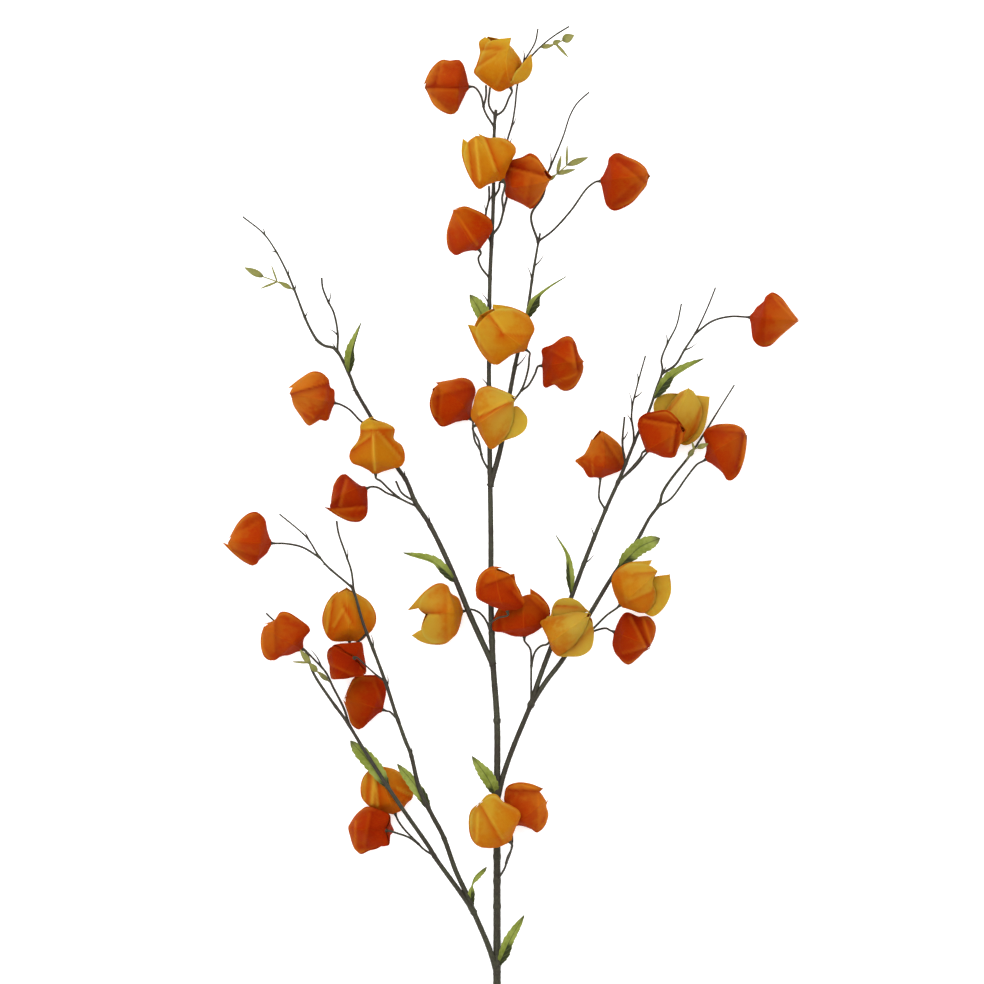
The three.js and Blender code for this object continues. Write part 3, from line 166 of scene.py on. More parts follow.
BRANCHES: dict[str, dict[str, Run]] = {
    "main_stem": {
        "stem": Run((
            (497, 1024, 3.5), (497, 984, 5.5), (497, 906, 13), (497, 856, 19), (497, 791, 26),
            (497, 720, 32), (493, 662, 36), (491, 601, 38), (491, 540, 39), (490, 470, 40), (489, 370, 40),
            (490, 280, 39), (493, 214, 38), (494.6, 125, 36), (496, 111, 35.5),
        ), radii=(4, 1.6)),
        "to_01": Run(((494.5, 128), (485, 113), (481, 97), (476, 89.5)), "stem", to=1),
        "top_left": Run(((484, 108), (486, 97, 20), (486, 86, 9)), "to_01"),
        "top_back": Run(((496, 118), (489, 106, 24), (490, 88, 8)), "stem"),
        "to_02": Run(((496, 118), (503, 112), (509, 99)), "stem", to=2),
        "tall": Run((
            (493, 236), (499, 227, 34), (504, 209, 26), (507, 196, 20), (507, 170, 13), (507, 143, 11),
            (512, 125, 10), (515, 107, 8), (517, 88, 6), (522, 66, 6), (535, 43, 9), (538, 29, 11),
        ), "stem", radii=(1.3, 0.7)),
        "tall_right": Run((
            (521, 70), (531, 57, 8), (543, 45, 11), (556, 35, 12), (569, 27, 12),
        ), "tall", radii=(1.1, 0.65)),
        "to_03": Run(((503.5, 211), (502, 200, 40)), "tall", to=3),
        "to_04": Run(((493.5, 199), (499, 190, 42)), "stem", to=4),
        "left_small": Run((
            (489.5, 246), (486, 229, 38), (486, 214, 35), (489, 200, 30), (489, 187, 26),
        ), "stem"),
        "to_06": Run(((488.5, 279), (481, 268), (478.5, 259)), "stem", to=6),
        "to_09": Run(((489, 472), (483, 460, 38), (480, 450), (475, 441), (473, 428)), "stem", to=9),
        "to_10": Run(((481, 454), (479, 442, 46)), "to_09", to=10),
        "to_20": Run(((491, 640), (487, 622, 29), (479, 612, 24), (470, 609, 24)), "stem", to=20),
        "to_21": Run(((492, 633), (489, 625, 50), (498, 617, 65)), "stem", radii=(0.95, 0.75), to=21),
        "to_32": Run(((498, 880), (505, 866), (507, 857)), "stem", to=32),
        "to_33": Run(((506, 862), (511, 849), (512, 835)), "to_32", to=33),
    },
    "left_low_branch": {
        "root": Run(((496, 972), (489, 947, 13), (472, 907, 21)), "main_stem.stem", radii=(3, 2.6)),
        "left_arm": Run((
            (474, 911), (463, 895, 25), (436, 857, 35), (429, 845, 37.5), (404, 809, 44), (386, 782, 47),
            (365, 749, 47), (347, 720, 46), (333, 701, 43), (314, 672, 38),
        ), "root", radii=(2.6, 1.3), to=26),
        "left_upper": Run((
            (349, 724), (345, 709, 38), (333, 686, 20), (326, 672, 13), (314, 659, 8), (300, 645, 5),
            (283, 629, 3), (266, 613, 3),
        ), "left_arm", radii=(1.4, 0.7)),
        "right_arm": Run((
            (474, 912), (468, 896, 24), (456, 870, 31), (443, 834, 40), (432, 813, 44), (420, 788, 47),
            (411, 752, 49), (406, 740, 49.5), (396, 712, 50), (387, 684, 50), (376, 654, 50),
            (364, 623, 50), (353, 588, 46), (349, 584, 45), (328, 566, 42), (319, 555, 40), (308, 538, 34),
            (280, 514, 24),
        ), "root", radii=(2.6, 0.7), taper=1.4),
        "right_tip": Run((
            (354, 592), (352, 571, 43), (347, 556, 39), (339, 533, 31), (337, 521, 27),
        ), "right_arm"),
        "to_15": Run(((321, 557), (303, 547, 33), (286, 543.5, 26)), "right_arm", to=15),
        "to_27": Run(((368, 632), (360, 640, 43)), "right_arm", to=27),
        "to_28": Run(((385, 680), (376, 673, 56), (365, 663, 60)), "right_arm", radii=(0.95, 0.75), to=28),
        "to_29": Run(((398, 718), (391, 711.5, 37)), "right_arm", to=29),
        "to_30": Run(((434, 854), (424, 848, 33), (417, 841), (405, 829), (399, 821)), "left_arm", to=30),
        "to_31": Run(((419, 843), (409, 836, 38), (397, 831.5, 45)), "to_30", to=31),
    },
    "left_high_branch": {
        "stem": Run((
            (493, 664), (469, 612, 34), (460, 590, 32), (445, 555, 28), (429, 523, 24), (416, 503, 20),
            (406, 480, 15), (397, 467, 12), (384, 442, 9), (371, 417, 8), (355, 389, 9), (350, 376, 10),
            (335, 349, 13), (325, 346, 14), (318, 341, 14), (311, 330, 15), (305, 317, 16), (295, 291, 17),
            (287, 272, 18), (276, 251, 18), (264, 234, 18), (243, 217, 16),
        ), "main_stem.stem", radii=(3, 0.7), taper=1.2),
        "right_tip": Run((
            (336, 352), (338, 334, 16), (334, 313, 18), (328, 301, 18), (323, 288, 18), (322, 278, 17),
        ), "stem"),
        "to_14": Run(((418, 508), (407, 502, 21), (397, 497, 22), (387, 493), (378, 487.5)), "stem", to=14),
        "to_13": Run(((399, 498), (389, 489, 28), (381, 481, 34)), "to_14", to=13),
        "side": Run(((415, 502), (402, 493, 21), (396, 481, 23)), "stem"),
        "to_12": Run(((377, 431), (362, 422, 11), (350, 410, 17)), "stem", to=12),
    },
    "centre_branch": {
        "stem": Run((
            (491, 487), (501, 446, 41), (510, 392, 40), (516, 361, 38), (527, 314, 36), (532, 280, 35),
            (537, 250, 35), (540, 234, 35),
        ), "main_stem.stem", radii=(2.9, 1.1)),
        "left": Run((
            (538, 244), (531, 217, 30), (543, 196, 16), (548, 173, 12), (551, 166, 12), (563, 137, 15),
            (570, 116, 18), (577, 104, 20), (589, 93, 22),
        ), "stem", radii=(1.4, 0.65)),
        "to_05": Run(((539, 242), (552, 232, 34), (571, 211, 30), (587, 189)), "stem", to=5),
        "to_07": Run((
            (507, 410), (516, 398, 38), (522, 389, 38), (528, 370, 42), (529, 359, 46),
        ), "stem", to=7),
        "to_08": Run(((521, 391), (528, 386, 33), (535, 374)), "to_07", to=8),
    },
    "right_branch": {
        "root": Run((
            (498.5, 800), (504, 772, 29), (514, 744, 32), (524, 720, 34), (533, 699, 35),
        ), "main_stem.stem", radii=(2.75, 2.6)),
        "inner_arm": Run((
            (531, 704), (535, 690, 35), (550, 649, 34), (572, 594, 34), (586, 557, 34), (606, 508, 34),
            (619, 479, 33), (637, 435, 31), (649, 410, 30), (656, 389, 26), (662, 371, 25), (661, 360, 25),
            (667, 344, 25), (676, 326, 24), (681, 304, 22),
        ), "root", radii=(2.6, 0.7), taper=1.6),
        "inner_right": Run((
            (661, 374), (675, 365, 26), (684, 350, 26), (695, 333, 27), (707, 308, 27), (715, 288, 26),
        ), "inner_arm", radii=(1.4, 0.65)),
        "to_11": Run(((695, 335), (712, 321.5, 28), (730, 317)), "inner_right", to=11),
        "bare_tall": Run((
            (634, 443), (633, 432, 33), (631, 418, 35), (632, 406, 36), (638, 381, 36), (645, 356, 34),
        ), "inner_arm", radii=(1.15, 0.65)),
        "bare_short": Run(((625, 465), (622, 444, 35), (624, 417, 37)), "inner_arm"),
        "to_16": Run(((606, 510), (599, 499, 30), (599, 489)), "inner_arm", to=16),
        "to_17": Run(((619, 482), (632, 467, 40), (640, 457, 48)), "inner_arm", to=17),
        "to_18": Run(((620, 483), (635, 466.5, 27), (650, 450, 20)), "inner_arm", to=18),
        "outer_arm": Run((
            (531, 705), (545, 682, 35), (563, 658, 34), (590, 613, 29), (611, 578, 25), (619, 566, 24),
            (638, 538, 24), (649, 518, 24), (659, 504, 24), (662, 493, 24), (670, 480, 21), (689, 456, 18),
            (703, 435, 15), (719, 409, 15), (734, 385, 16),
        ), "root", radii=(2.6, 0.7), taper=1.4),
        "to_19": Run(((658, 507), (670, 499, 24), (687, 476, 24), (697, 464)), "outer_arm", to=19),
        "to_22": Run(((531, 704), (531, 678, 38), (531, 662, 41), (530, 648, 45)), "root", to=22),
        "to_23": Run(((531, 666), (535, 651, 50), (541, 645, 55)), "to_22", to=23),
        "to_24": Run(((574, 640), (588, 633, 33), (596, 625, 35), (606, 615, 38)), "outer_arm", to=24),
        "to_25": Run(((586, 635), (597, 629.5, 31), (606, 628)), "to_24", to=25),
    },
}

SPURS: dict[str, dict[str, tuple[tuple[Place, Place], ...]]] = {
    "main_stem": {
        "tall": (
            ((512, 127), (516, 118, 14)), ((507, 148), (504, 136, 16)), ((508, 147), (512, 138, 13)),
            ((523, 62), (523.5, 50, 10)),
        ),
        "left_small": (((486, 218), (484, 205, 37)),),
        "stem": (((494, 194), (489.5, 203, 40)), ((489, 306), (481, 293, 43)), ((489, 389), (481, 378, 44))),
    },
    "left_low_branch": {
        "left_arm": (((472, 908), (473, 900, 30)), ((336, 706), (333, 700, 46))),
        "right_arm": (
            ((308, 540), (304, 530, 38)), ((331, 569), (322, 563, 46)), ((354, 590), (351, 583, 49)),
            ((374, 649), (372, 634, 54)), ((388, 687), (388, 673, 55)), ((411, 755), (412, 745, 53)),
            ((443, 838), (444, 831, 44)),
        ),
        "right_tip": (((348, 559), (348, 548, 42)),),
        "left_upper": (((321, 667), (311, 649, 20)),),
    },
    "left_high_branch": {
        "stem": (
            ((430, 526), (428, 514, 28)), ((405, 478), (404, 470, 18)), ((357, 394), (352, 390, 12)),
            ((335, 351), (332, 343, 16)), ((319, 342), (314, 341, 16)), ((305, 318), (308, 311, 19)),
            ((295, 291), (296.5, 283, 20)), ((288, 275), (289, 269, 21)), ((277, 253), (272, 252, 20)),
            ((265, 236), (263, 228, 20)),
        ),
        "right_tip": (((329, 303), (331, 292, 21)), ((338, 336), (329, 329, 19))),
    },
    "centre_branch": {
        "stem": (((532, 282), (526.5, 266, 39)), ((536, 267), (544, 255, 39)), ((516, 368), (527, 354, 33))),
        "left": (((551, 168), (550, 152, 15)),),
    },
    "right_branch": {
        "root": (((532, 702), (533, 693, 38)),),
        "inner_arm": (
            ((586, 565), (594, 554, 38)), ((594, 539), (590, 526, 38)), ((662, 373), (666, 366, 28)),
            ((667, 345), (665, 333, 28)),
        ),
        "inner_right": (((684, 352), (697, 343, 30)),),
        "bare_tall": (
            ((631, 424), (626, 414, 38)), ((632, 409), (628, 391, 40)), ((635, 399), (643, 390, 40)),
            ((638, 382), (636, 372, 39)),
        ),
        "bare_short": (((623, 441), (628, 430, 38)),),
        "outer_arm": (((641, 534), (643, 526, 27)), ((659, 505), (662, 500, 27))),
    },
}

# How far down the board a branch's moulded knuckles lie, and their radius and length.
KNUCKLES: dict[str, tuple[tuple[float, float, float], ...]] = {
    "main_stem": ((906, 4.3, 5), (856, 4.2, 5), (720, 4, 5)),
}

LANTERNS: tuple[LanternPlan, ...] = (
    LanternPlan(
        Hue.RED, (468, 88), (425, 89), girth=26.5, warm=0.7, mouth=0.2, soft=0.4,
        right=((466, 76), (461, 62), (450, 62), (443, 61), (436, 65), (429, 74), (424, 86)),
        left=((463, 98), (459, 107), (456, 114), (451, 115.5), (443, 113), (434, 106), (427, 92)),
        folds=((458, 90, 428, 89, -2.4), (440, 66, 436, 86, -1.2), (452, 112, 432, 96, -1)),
    ),
    LanternPlan(
        Hue.AMBER, (510, 88, 38), (489, 40), girth=24, warm=0.2, mouth=0.4, lift=4, soft=0.06,
        right=((518, 86), (527, 81), (532, 70), (531, 56)),
        left=((499, 93), (487, 86), (477, 78), (474, 74), (477, 66), (480, 54), (479, 44), (485, 39)),
        over=((507, 76), (506, 62), (509, 50), (511, 40)),
        waist={Side.RIGHT: ((517, 80), (521, 67), (516, 56), (509, 48), (498, 41))},
        flap={Side.RIGHT: ((508, 87, 8), (512, 83, 14), (515, 75, 15), (521, 68, 13), (529, 58, 5))},
        folds=((496, 57, 476, 69, -1.6), (499, 52, 480, 51, -1.5), (498, 89, 506, 74, -1)),
    ),
    LanternPlan(
        Hue.AMBER, (502, 181, 66), (476, 139), mouth=0.5, flat=0.85, soft=0.12,
        right=((511, 161), (516, 152), (510, 144), (500, 140), (488, 140), (478, 136)),
        left=((488, 186), (479, 191), (473, 184), (466, 170), (462, 156), (463, 141)),
        folds=((498, 174, 485, 139, -3), (480, 182, 476, 143, 2.2), (473, 184, 469, 147, -2.6)),
    ),
    LanternPlan(
        Hue.RED, (505, 183, 40), (550, 180), warm=0.4, mouth=0.25, lift=8, turn=14, soft=0.45,
        right=(
            (505, 190), (506, 197), (515, 202), (524, 206), (529, 210), (537, 203), (543, 193), (550, 181),
        ),
        left=((504, 174), (505, 166), (511, 162), (522, 159), (531, 155), (538, 159), (542, 167), (541, 174)),
        folds=((542, 177, 508, 168, -3.4), (527, 206, 530, 184, -0.9)),
    ),
    LanternPlan(
        Hue.RED, (601, 182), (648, 177), girth=28, mouth=0.25, soft=0.35,
        right=(
            (603, 193), (607, 208), (613, 211.5), (622, 209), (632, 203), (640, 194), (646, 186),
            (647, 178),
        ),
        left=((608, 167), (610, 157), (617, 154), (627, 158), (638, 163), (645, 169), (648, 175)),
        folds=((643, 183, 618, 162, -1.2), (612, 206, 634, 186, -0.8)),
    ),
    LanternPlan(
        Hue.RED, (478.5, 250, 52), (455, 212), girth=25, lift=3, turn=-8, soft=0.05,
        right=((486, 241), (492, 230), (491, 222), (484, 216), (474, 211), (465, 208), (456, 210)),
        left=((465, 252), (456, 256), (450, 252), (447, 238), (450, 223), (455, 212)),
        folds=((456, 216, 477, 246, 1.8),),
    ),
    LanternPlan(
        Hue.AMBER, (525, 350, 66), (484, 319), girth=27, warm=0.2, mouth=0.5, lift=14, flat=0.85, soft=0.15,
        right=((530, 338), (534, 329), (528, 317), (516, 310), (504, 307), (493, 306)),
        left=((510, 355), (501, 362), (495, 366), (486, 360), (477, 347), (468, 326)),
        folds=((487, 313, 503, 335, -2.4), (470, 330, 490, 360, -1.6), (502, 336, 527, 337, -1.2)),
    ),
    LanternPlan(
        Hue.RED, (543, 366), (582, 362), girth=28, mouth=0.25, soft=0.15,
        right=(
            (543, 376), (544, 388), (554, 385), (563, 391), (572, 389), (580, 378), (583, 367), (581, 361),
        ),
        left=((543, 358), (542, 350), (552, 345), (562, 338), (570, 337), (575, 343), (578, 354), (581, 361)),
        folds=((577, 369, 573, 343, -3.6), (549, 352, 572, 366, -1), (553, 383, 575, 375, 1.6)),
    ),
    LanternPlan(
        Hue.RED, (469, 418), (434, 388), warm=-0.2, turn=12,
        right=((471, 405), (475, 390), (472, 382), (463, 378), (452, 380), (436, 383)),
        left=((456, 421), (442, 426), (435, 420), (430, 406), (432, 394), (434, 391)),
        folds=((437, 397, 473, 388, -1.2), (440, 392, 437, 422, -1.2)),
    ),
    LanternPlan(
        Hue.AMBER, (477, 425, 67), (514, 400), girth=28.5, warm=0.6, lift=12.5, flat=0.85,
        soft=0.1,
        right=((483, 438), (491, 448), (503, 441), (516, 437), (525, 430), (527, 419), (522, 411)),
        left=((472, 418), (475, 402), (478, 391), (488, 387), (502, 391), (516, 398)),
        waist={Side.RIGHT: ((483, 438), (491, 448), (503, 439), (509, 430), (513, 415), (512, 402))},
        folds=((479, 418, 508, 404, -4),),
    ),
    LanternPlan(
        Hue.RED, (750, 318), (796, 322), girth=28, warm=0.3, mouth=0.18, soft=0.35,
        right=((751, 328), (753, 342), (760, 347), (769, 346), (778, 338), (787, 330), (796, 322)),
        left=((757, 308), (764, 302), (766, 296), (771, 293), (780, 298), (790, 311), (798, 321)),
        folds=((773, 299, 793, 321, 1.2), (764, 304, 762, 344, -0.6)),
    ),
    LanternPlan(
        Hue.RED, (334, 403), (291, 394), warm=0.8, soft=0.3,
        right=((334, 390), (330, 387), (328, 378), (322, 373), (313, 372), (302, 378), (289, 388)),
        left=((330, 415), (328, 421), (320, 420), (310, 426), (301, 416), (294, 405), (292, 396)),
        folds=((293, 394, 331, 383, -3.2), (296, 404, 314, 417, 1.4)),
    ),
    LanternPlan(
        Hue.AMBER, (376, 473, 39), (373, 420), girth=27, warm=-0.2, soft=0.04,
        right=(
            (390, 469), (403, 465), (405, 457), (402, 446), (394, 439), (395, 429), (388, 424), (379, 421),
        ),
        left=((363, 466), (351, 461), (351, 452), (358, 442), (361, 434), (361, 425), (368, 419), (374, 417)),
        folds=(
            (353, 451, 373, 437, -2.4), (403, 458, 380, 431, -2), (362, 431, 392, 429, -2.4),
            (374, 436, 375.5, 470, 1.8),
        ),
    ),
    LanternPlan(
        Hue.RED, (366, 489), (331, 505), girth=25, warm=-0.6, mouth=0.2, turn=10, soft=0.15,
        right=((360, 487), (349, 478), (344, 474), (337, 480), (333, 492), (332, 504)),
        left=((367, 503), (366, 516), (361, 521), (350, 521), (337, 515), (325, 507)),
        folds=((345, 479, 338, 506, -3), (365, 505, 330, 508, -3)),
    ),
    LanternPlan(
        Hue.RED, (271, 543), (230, 541), warm=0.2, mouth=0.22, soft=0.35,
        right=((267, 530), (265, 518), (258, 512), (250, 513), (240, 521), (230, 538)),
        left=((268, 551), (259, 560), (255, 565), (246, 562), (235, 554), (223, 542)),
        folds=((234, 550, 259, 556, -1.2), (262, 517, 245, 528, -0.7)),
    ),
    LanternPlan(
        Hue.RED, (600, 477), (601, 432), girth=22, warm=0.6, mouth=0.4, turn=8, soft=0.12,
        right=((612, 473), (621, 469), (625, 457), (620, 446), (612, 438), (602, 431)),
        left=((594, 477), (589, 477), (583, 468), (575, 461), (584, 456), (588, 448), (591, 440)),
        folds=((603, 440, 620, 466, -1.8), (590, 443, 593, 474, 1)),
    ),
    LanternPlan(
        Hue.RED, (646, 450, 56), (683, 429), warm=-0.5, mouth=0.25, lift=20, flat=0.8, soft=0.12,
        right=((656, 453), (667, 457), (673, 457), (677, 448), (682, 438), (685, 430)),
        left=((640, 435), (637, 421), (643, 415), (655, 412), (666, 411), (675, 418), (683, 429)),
        folds=((675, 425, 641, 419, -3.2), (671, 453, 674, 428, -3.4), (680, 434, 678, 452, 1.6)),
    ),
    LanternPlan(
        Hue.AMBER, (665, 440), (688, 389), girth=28, warm=0.7, mouth=0.35, flat=0.7, soft=0.15,
        right=((678, 444), (685, 446), (695, 441), (703, 430), (707, 414), (709, 397)),
        left=((657, 425), (653, 406), (657, 398), (666, 394), (679, 394)),
        waist={
            Side.RIGHT: ((676, 443), (684, 441), (695, 430), (701, 414), (699, 403), (692, 391)),
            Side.LEFT: ((660, 428), (665, 413), (672, 402), (680, 393)),
        },
        folds=((682, 395, 668, 413, -1.5), (688, 438, 700, 408, -1.5)),
    ),
    LanternPlan(
        Hue.RED, (706, 459), (745, 435), girth=28, warm=0.2, mouth=0.25, turn=-6, soft=0.08,
        right=((713, 464), (722, 472), (728, 481), (736, 476), (742, 464), (745, 450), (746, 439)),
        left=((707, 447), (704, 432), (712, 426), (723, 424), (735, 425), (743, 430), (746, 438)),
        folds=((742, 436, 736, 472, -2.4), (709, 431, 740, 433, -0.8)),
    ),
    LanternPlan(
        Hue.AMBER, (462, 611), (414, 615), girth=29, warm=0.5, mouth=0.1, flat=0.85, short=0.72, soft=0.25,
        right=((458, 598), (450, 593), (446, 584), (438, 583), (426, 590), (408, 610)),
        left=((459, 626), (455, 635), (446, 643), (433, 644), (421, 641), (412, 635)),
        folds=((440, 613, 414, 612, -2.4), (446, 588, 447, 638, -0.8)),
    ),
    LanternPlan(
        Hue.RED, (507, 609, 74), (497, 568), girth=23, warm=-0.1, mouth=0.25, flat=0.85, turn=-10,
        soft=0.06,
        right=((519, 608), (524, 603), (520, 593), (516, 583), (514, 573)),
        left=((492, 604), (477, 595), (478, 578), (484, 570), (493, 566), (502, 567)),
        folds=((487, 584, 515, 574, -2.2), (511, 591, 523, 605, -2)),
    ),
    LanternPlan(
        Hue.RED, (524, 635, 46), (522, 597), girth=27, warm=-0.5, mouth=0.35, flat=0.85, soft=0.15,
        right=((534, 631), (548, 619), (549, 608), (541, 596), (530, 588)),
        left=((514, 635), (502, 631), (493, 630), (494, 618), (500, 606), (510, 599), (520, 597)),
        folds=((530, 599, 547, 614, -1.6), (500, 612, 501, 630, -1.2)),
    ),
    LanternPlan(
        Hue.AMBER, (550, 641, 60), (588, 614), girth=27, warm=0.8, mouth=0.35, lift=24, flat=0.85,
        right=((552, 649), (556, 655), (568, 656), (580, 655), (590, 648), (593, 635), (592, 625)),
        left=((546, 630), (541, 622), (551, 618), (551, 609), (556, 600), (566, 597), (577, 600), (588, 612)),
        waist={
            Side.RIGHT: ((552, 648), (558, 653), (570, 646), (579, 635), (585, 624), (588, 615)),
            Side.LEFT: ((546, 630), (541, 622), (551, 617), (563, 614), (576, 612), (588, 613)),
        },
        folds=((556, 605, 576, 606, -2.5), (572, 646, 590, 627, -1.2)),
    ),
    LanternPlan(
        Hue.AMBER, (620, 604, 47), (655, 572), girth=28, warm=0.4, flat=0.85, soft=0.3,
        right=((629, 608), (640, 611), (651, 616), (663, 607), (670, 592), (669, 574)),
        left=((614, 592), (611, 578), (618, 568), (630, 562), (641, 561), (651, 560)),
        waist={Side.RIGHT: ((630, 608), (643, 611), (653, 602), (654, 590), (651, 581), (655, 572))},
        folds=((628, 601, 652, 591, -1.6), (634, 573, 655, 572, -1.4), (618, 574, 624, 604, -0.8)),
    ),
    LanternPlan(
        Hue.RED, (615, 632), (650, 645), warm=-0.5, mouth=0.25, flat=0.85, soft=0.1,
        right=((613, 645), (620, 659), (628, 664), (637, 658), (643, 652), (649, 648)),
        left=((616, 627), (626, 612), (638, 616), (648, 616), (655, 625), (654, 636), (649, 647)),
        folds=((647, 646, 632, 616, -3.4), (643, 619, 650, 642, 2.4), (622, 655, 646, 648, -1.8)),
    ),
    LanternPlan(
        Hue.RED, (302, 648, 33), (265, 627), girth=25, warm=0.3, soft=0.25,
        right=((304, 637), (311, 629), (300, 619), (288, 612), (281, 612), (275, 620), (266, 623)),
        left=((290, 653), (280, 655), (273, 660), (266, 657), (262, 647), (262, 635), (265, 625)),
        folds=((277, 652, 276, 622, -1.2),),
    ),
    LanternPlan(
        Hue.AMBER, (350, 640, 32), (347, 588), girth=27, warm=-0.6, flat=0.75, soft=0.15,
        right=((360, 641), (368, 634), (375, 626), (376, 614), (369, 601), (357, 593)),
        left=((339, 641), (330, 639), (323, 622), (326, 606), (332, 596), (338, 591)),
        folds=((329, 634, 333.5, 600, -3.4), (336, 628, 345, 612, -2), (353, 622, 345, 606, -2)),
    ),
    LanternPlan(
        Hue.RED, (355, 657, 64), (337, 665), girth=22, warm=-0.7, mouth=0.4, lift=-60, turn=-30, soft=0.3,
        folds=((360, 645, 358, 668, -2.6), (330, 646, 350, 657, -1.2), (326, 664, 352, 676, -1.6)),
    ),
    LanternPlan(
        Hue.RED, (382, 709), (346, 697), warm=-0.8, flat=0.65, soft=0.35,
        right=((384, 702), (386, 689), (381, 677), (368, 675), (355, 677), (349, 687), (345, 698)),
        left=((377, 713), (368, 721), (360, 729), (352, 724), (348, 712), (344, 700)),
        folds=((385, 704, 376, 679, -1.2),),
    ),
    LanternPlan(
        Hue.AMBER, (395, 812), (377, 766), warm=-0.9, mouth=0.2, flat=0.75, soft=0.2,
        right=((401, 810), (407, 802), (413, 797), (413, 788), (406, 777), (395, 769), (383, 766)),
        left=((385, 812), (374, 808), (363, 799), (361, 787), (364, 776), (371, 768)),
        folds=(
            (372.5, 803, 375, 770, 3), (380.5, 805, 377.5, 772, -3.4), (367, 801, 369, 773, -2),
            (395, 789, 412, 797, -2.6),
        ),
    ),
    LanternPlan(
        Hue.RED, (386, 829, 44), (355, 827), girth=24, warm=-0.4, lift=-38, soft=0.3,
        right=((390, 815), (378, 808), (366, 806), (358, 813), (353, 820), (349, 825)),
        left=((389, 843), (380, 845), (368, 850), (361, 853), (355, 847), (352, 838), (351, 829)),
        folds=((357, 820, 356, 848, 1.4), (366, 846, 372, 812, -1.4)),
    ),
    LanternPlan(
        Hue.AMBER, (509, 839, 54), (480, 803), girth=27, warm=0.3, mouth=0.35, flat=0.85, soft=0.2,
        right=((514, 827), (520, 811), (511, 804), (503, 800), (496, 793), (488, 793), (480, 801)),
        left=((500, 844), (480, 845), (472, 837), (469, 822), (471, 809), (478, 802)),
        folds=((482, 805, 501, 838, -2.2), (478, 812, 477, 838, 2)),
    ),
    LanternPlan(
        Hue.RED, (513, 824), (546, 799), girth=27, warm=0.7, flat=0.8, soft=0.2,
        right=((520, 823), (532, 827), (538, 831), (545, 824), (548, 813), (546, 805), (548, 799)),
        left=((507, 810), (504, 794), (507, 786), (517, 782), (530, 783), (543, 788)),
        folds=((508, 789, 541, 790, -2.4), (538, 794, 539, 826, 1.6)),
    ),
)

LEAVES: tuple[LeafPlan, ...] = (
    LeafPlan(
        "left_high_branch", ((351, 374), (351.5, 356, 18), (355.5, 341, 21), (361.5, 323, 24)),
        left=(4, 7, 7, 4.5, 2), right=(3, 4.5, 1.2, 0.7, 0.5), fold=30, dark=(0, 1),
    ),
    LeafPlan(
        "main_stem", ((489, 334), (481, 314, 44), (470, 295.5, 46)),
        left=(2.5, 5, 6.5, 6, 3.5), right=(3, 8, 10, 8, 4.5), fold=15,
    ),
    LeafPlan(
        "centre_branch", ((526, 319), (536, 300, 42), (547, 289.5, 44), (566, 277.5, 46)),
        left=(3.5, 5, 2.2, 1.2, 0.8), right=(5, 7, 1.5, 1, 0.6), fold=25, dark=(0, 0.5),
    ),
    LeafPlan(
        "right_branch", ((653, 400), (667, 380.5, 31), (682, 370, 33), (703, 359, 34)),
        left=(3, 6, 6.5, 5, 2.8), right=(5, 6.5, 2.2, 1.6, 1), fold=25, dark=(0, 0.48),
    ),
    LeafPlan(
        "left_high_branch", ((456, 582), (441, 567, 35), (428, 559.5, 37), (403.5, 552.5, 38)),
        left=(4.5, 5, 1.5, 2, 1.5), right=(3, 6, 7, 5, 2.5), fold=25, dark=(0.42, 0),
    ),
    LeafPlan(
        "right_branch", ((571, 597), (569.3, 571, 39), (566.5, 554, 41), (555.6, 535, 42)),
        left=(2.2, 4.3, 3, 1.6, 0.9), right=(2.2, 5, 4, 2, 1), fold=30, dark=(0.55, 0),
    ),
    LeafPlan(
        "right_branch", ((616, 571), (629, 556.5, 31), (640, 546.5, 33), (659.5, 538, 34)),
        left=(3.5, 8, 8.5, 8, 5.5), right=(3.5, 6, 8, 8.5, 6), fold=12, dark=(0.15, 0.42),
    ),
    LeafPlan(
        "left_low_branch", ((392, 791), (373, 764, 43.5), (351, 739.5, 42)),
        left=(3, 6.5, 8, 8, 5.5), right=(3.5, 7.5, 8.5, 7.5, 4.5), fold=0, dark=(0.25, 0.25),
    ),
    LeafPlan(
        "left_low_branch", ((431, 812), (417, 786, 44), (397.7, 762.6, 43)),
        left=(3, 5.5, 7, 6, 3.5), right=(3.5, 6, 5.5, 5, 3), fold=0, dark=(0.3, 0.45),
    ),
    LeafPlan(
        "main_stem", ((497, 797), (487.5, 777, 34), (472.2, 755.2, 38)),
        left=(3, 6, 7, 6, 3.5), right=(4, 8, 8, 5.5, 3), fold=15, dark=(0.3, 0),
    ),
    LeafPlan(
        "left_low_branch", ((471.5, 907), (471.5, 891, 26), (475, 876.5, 30), (486.5, 865.8, 31)),
        left=(3.5, 4, 0.9, 1, 1), right=(3, 4, 0.9, 4.6, 3.6), fold=25, dark=(0, 0.4),
    ),
    LeafPlan(
        "main_stem", ((498, 968), (504.5, 952, 13), (511, 937.5, 17), (524.2, 914.3, 20)),
        left=(3, 6, 7, 5.5, 3), right=(3.5, 6, 4.5, 4, 2.5), fold=25, dark=(0, 0.5),
    ),
)

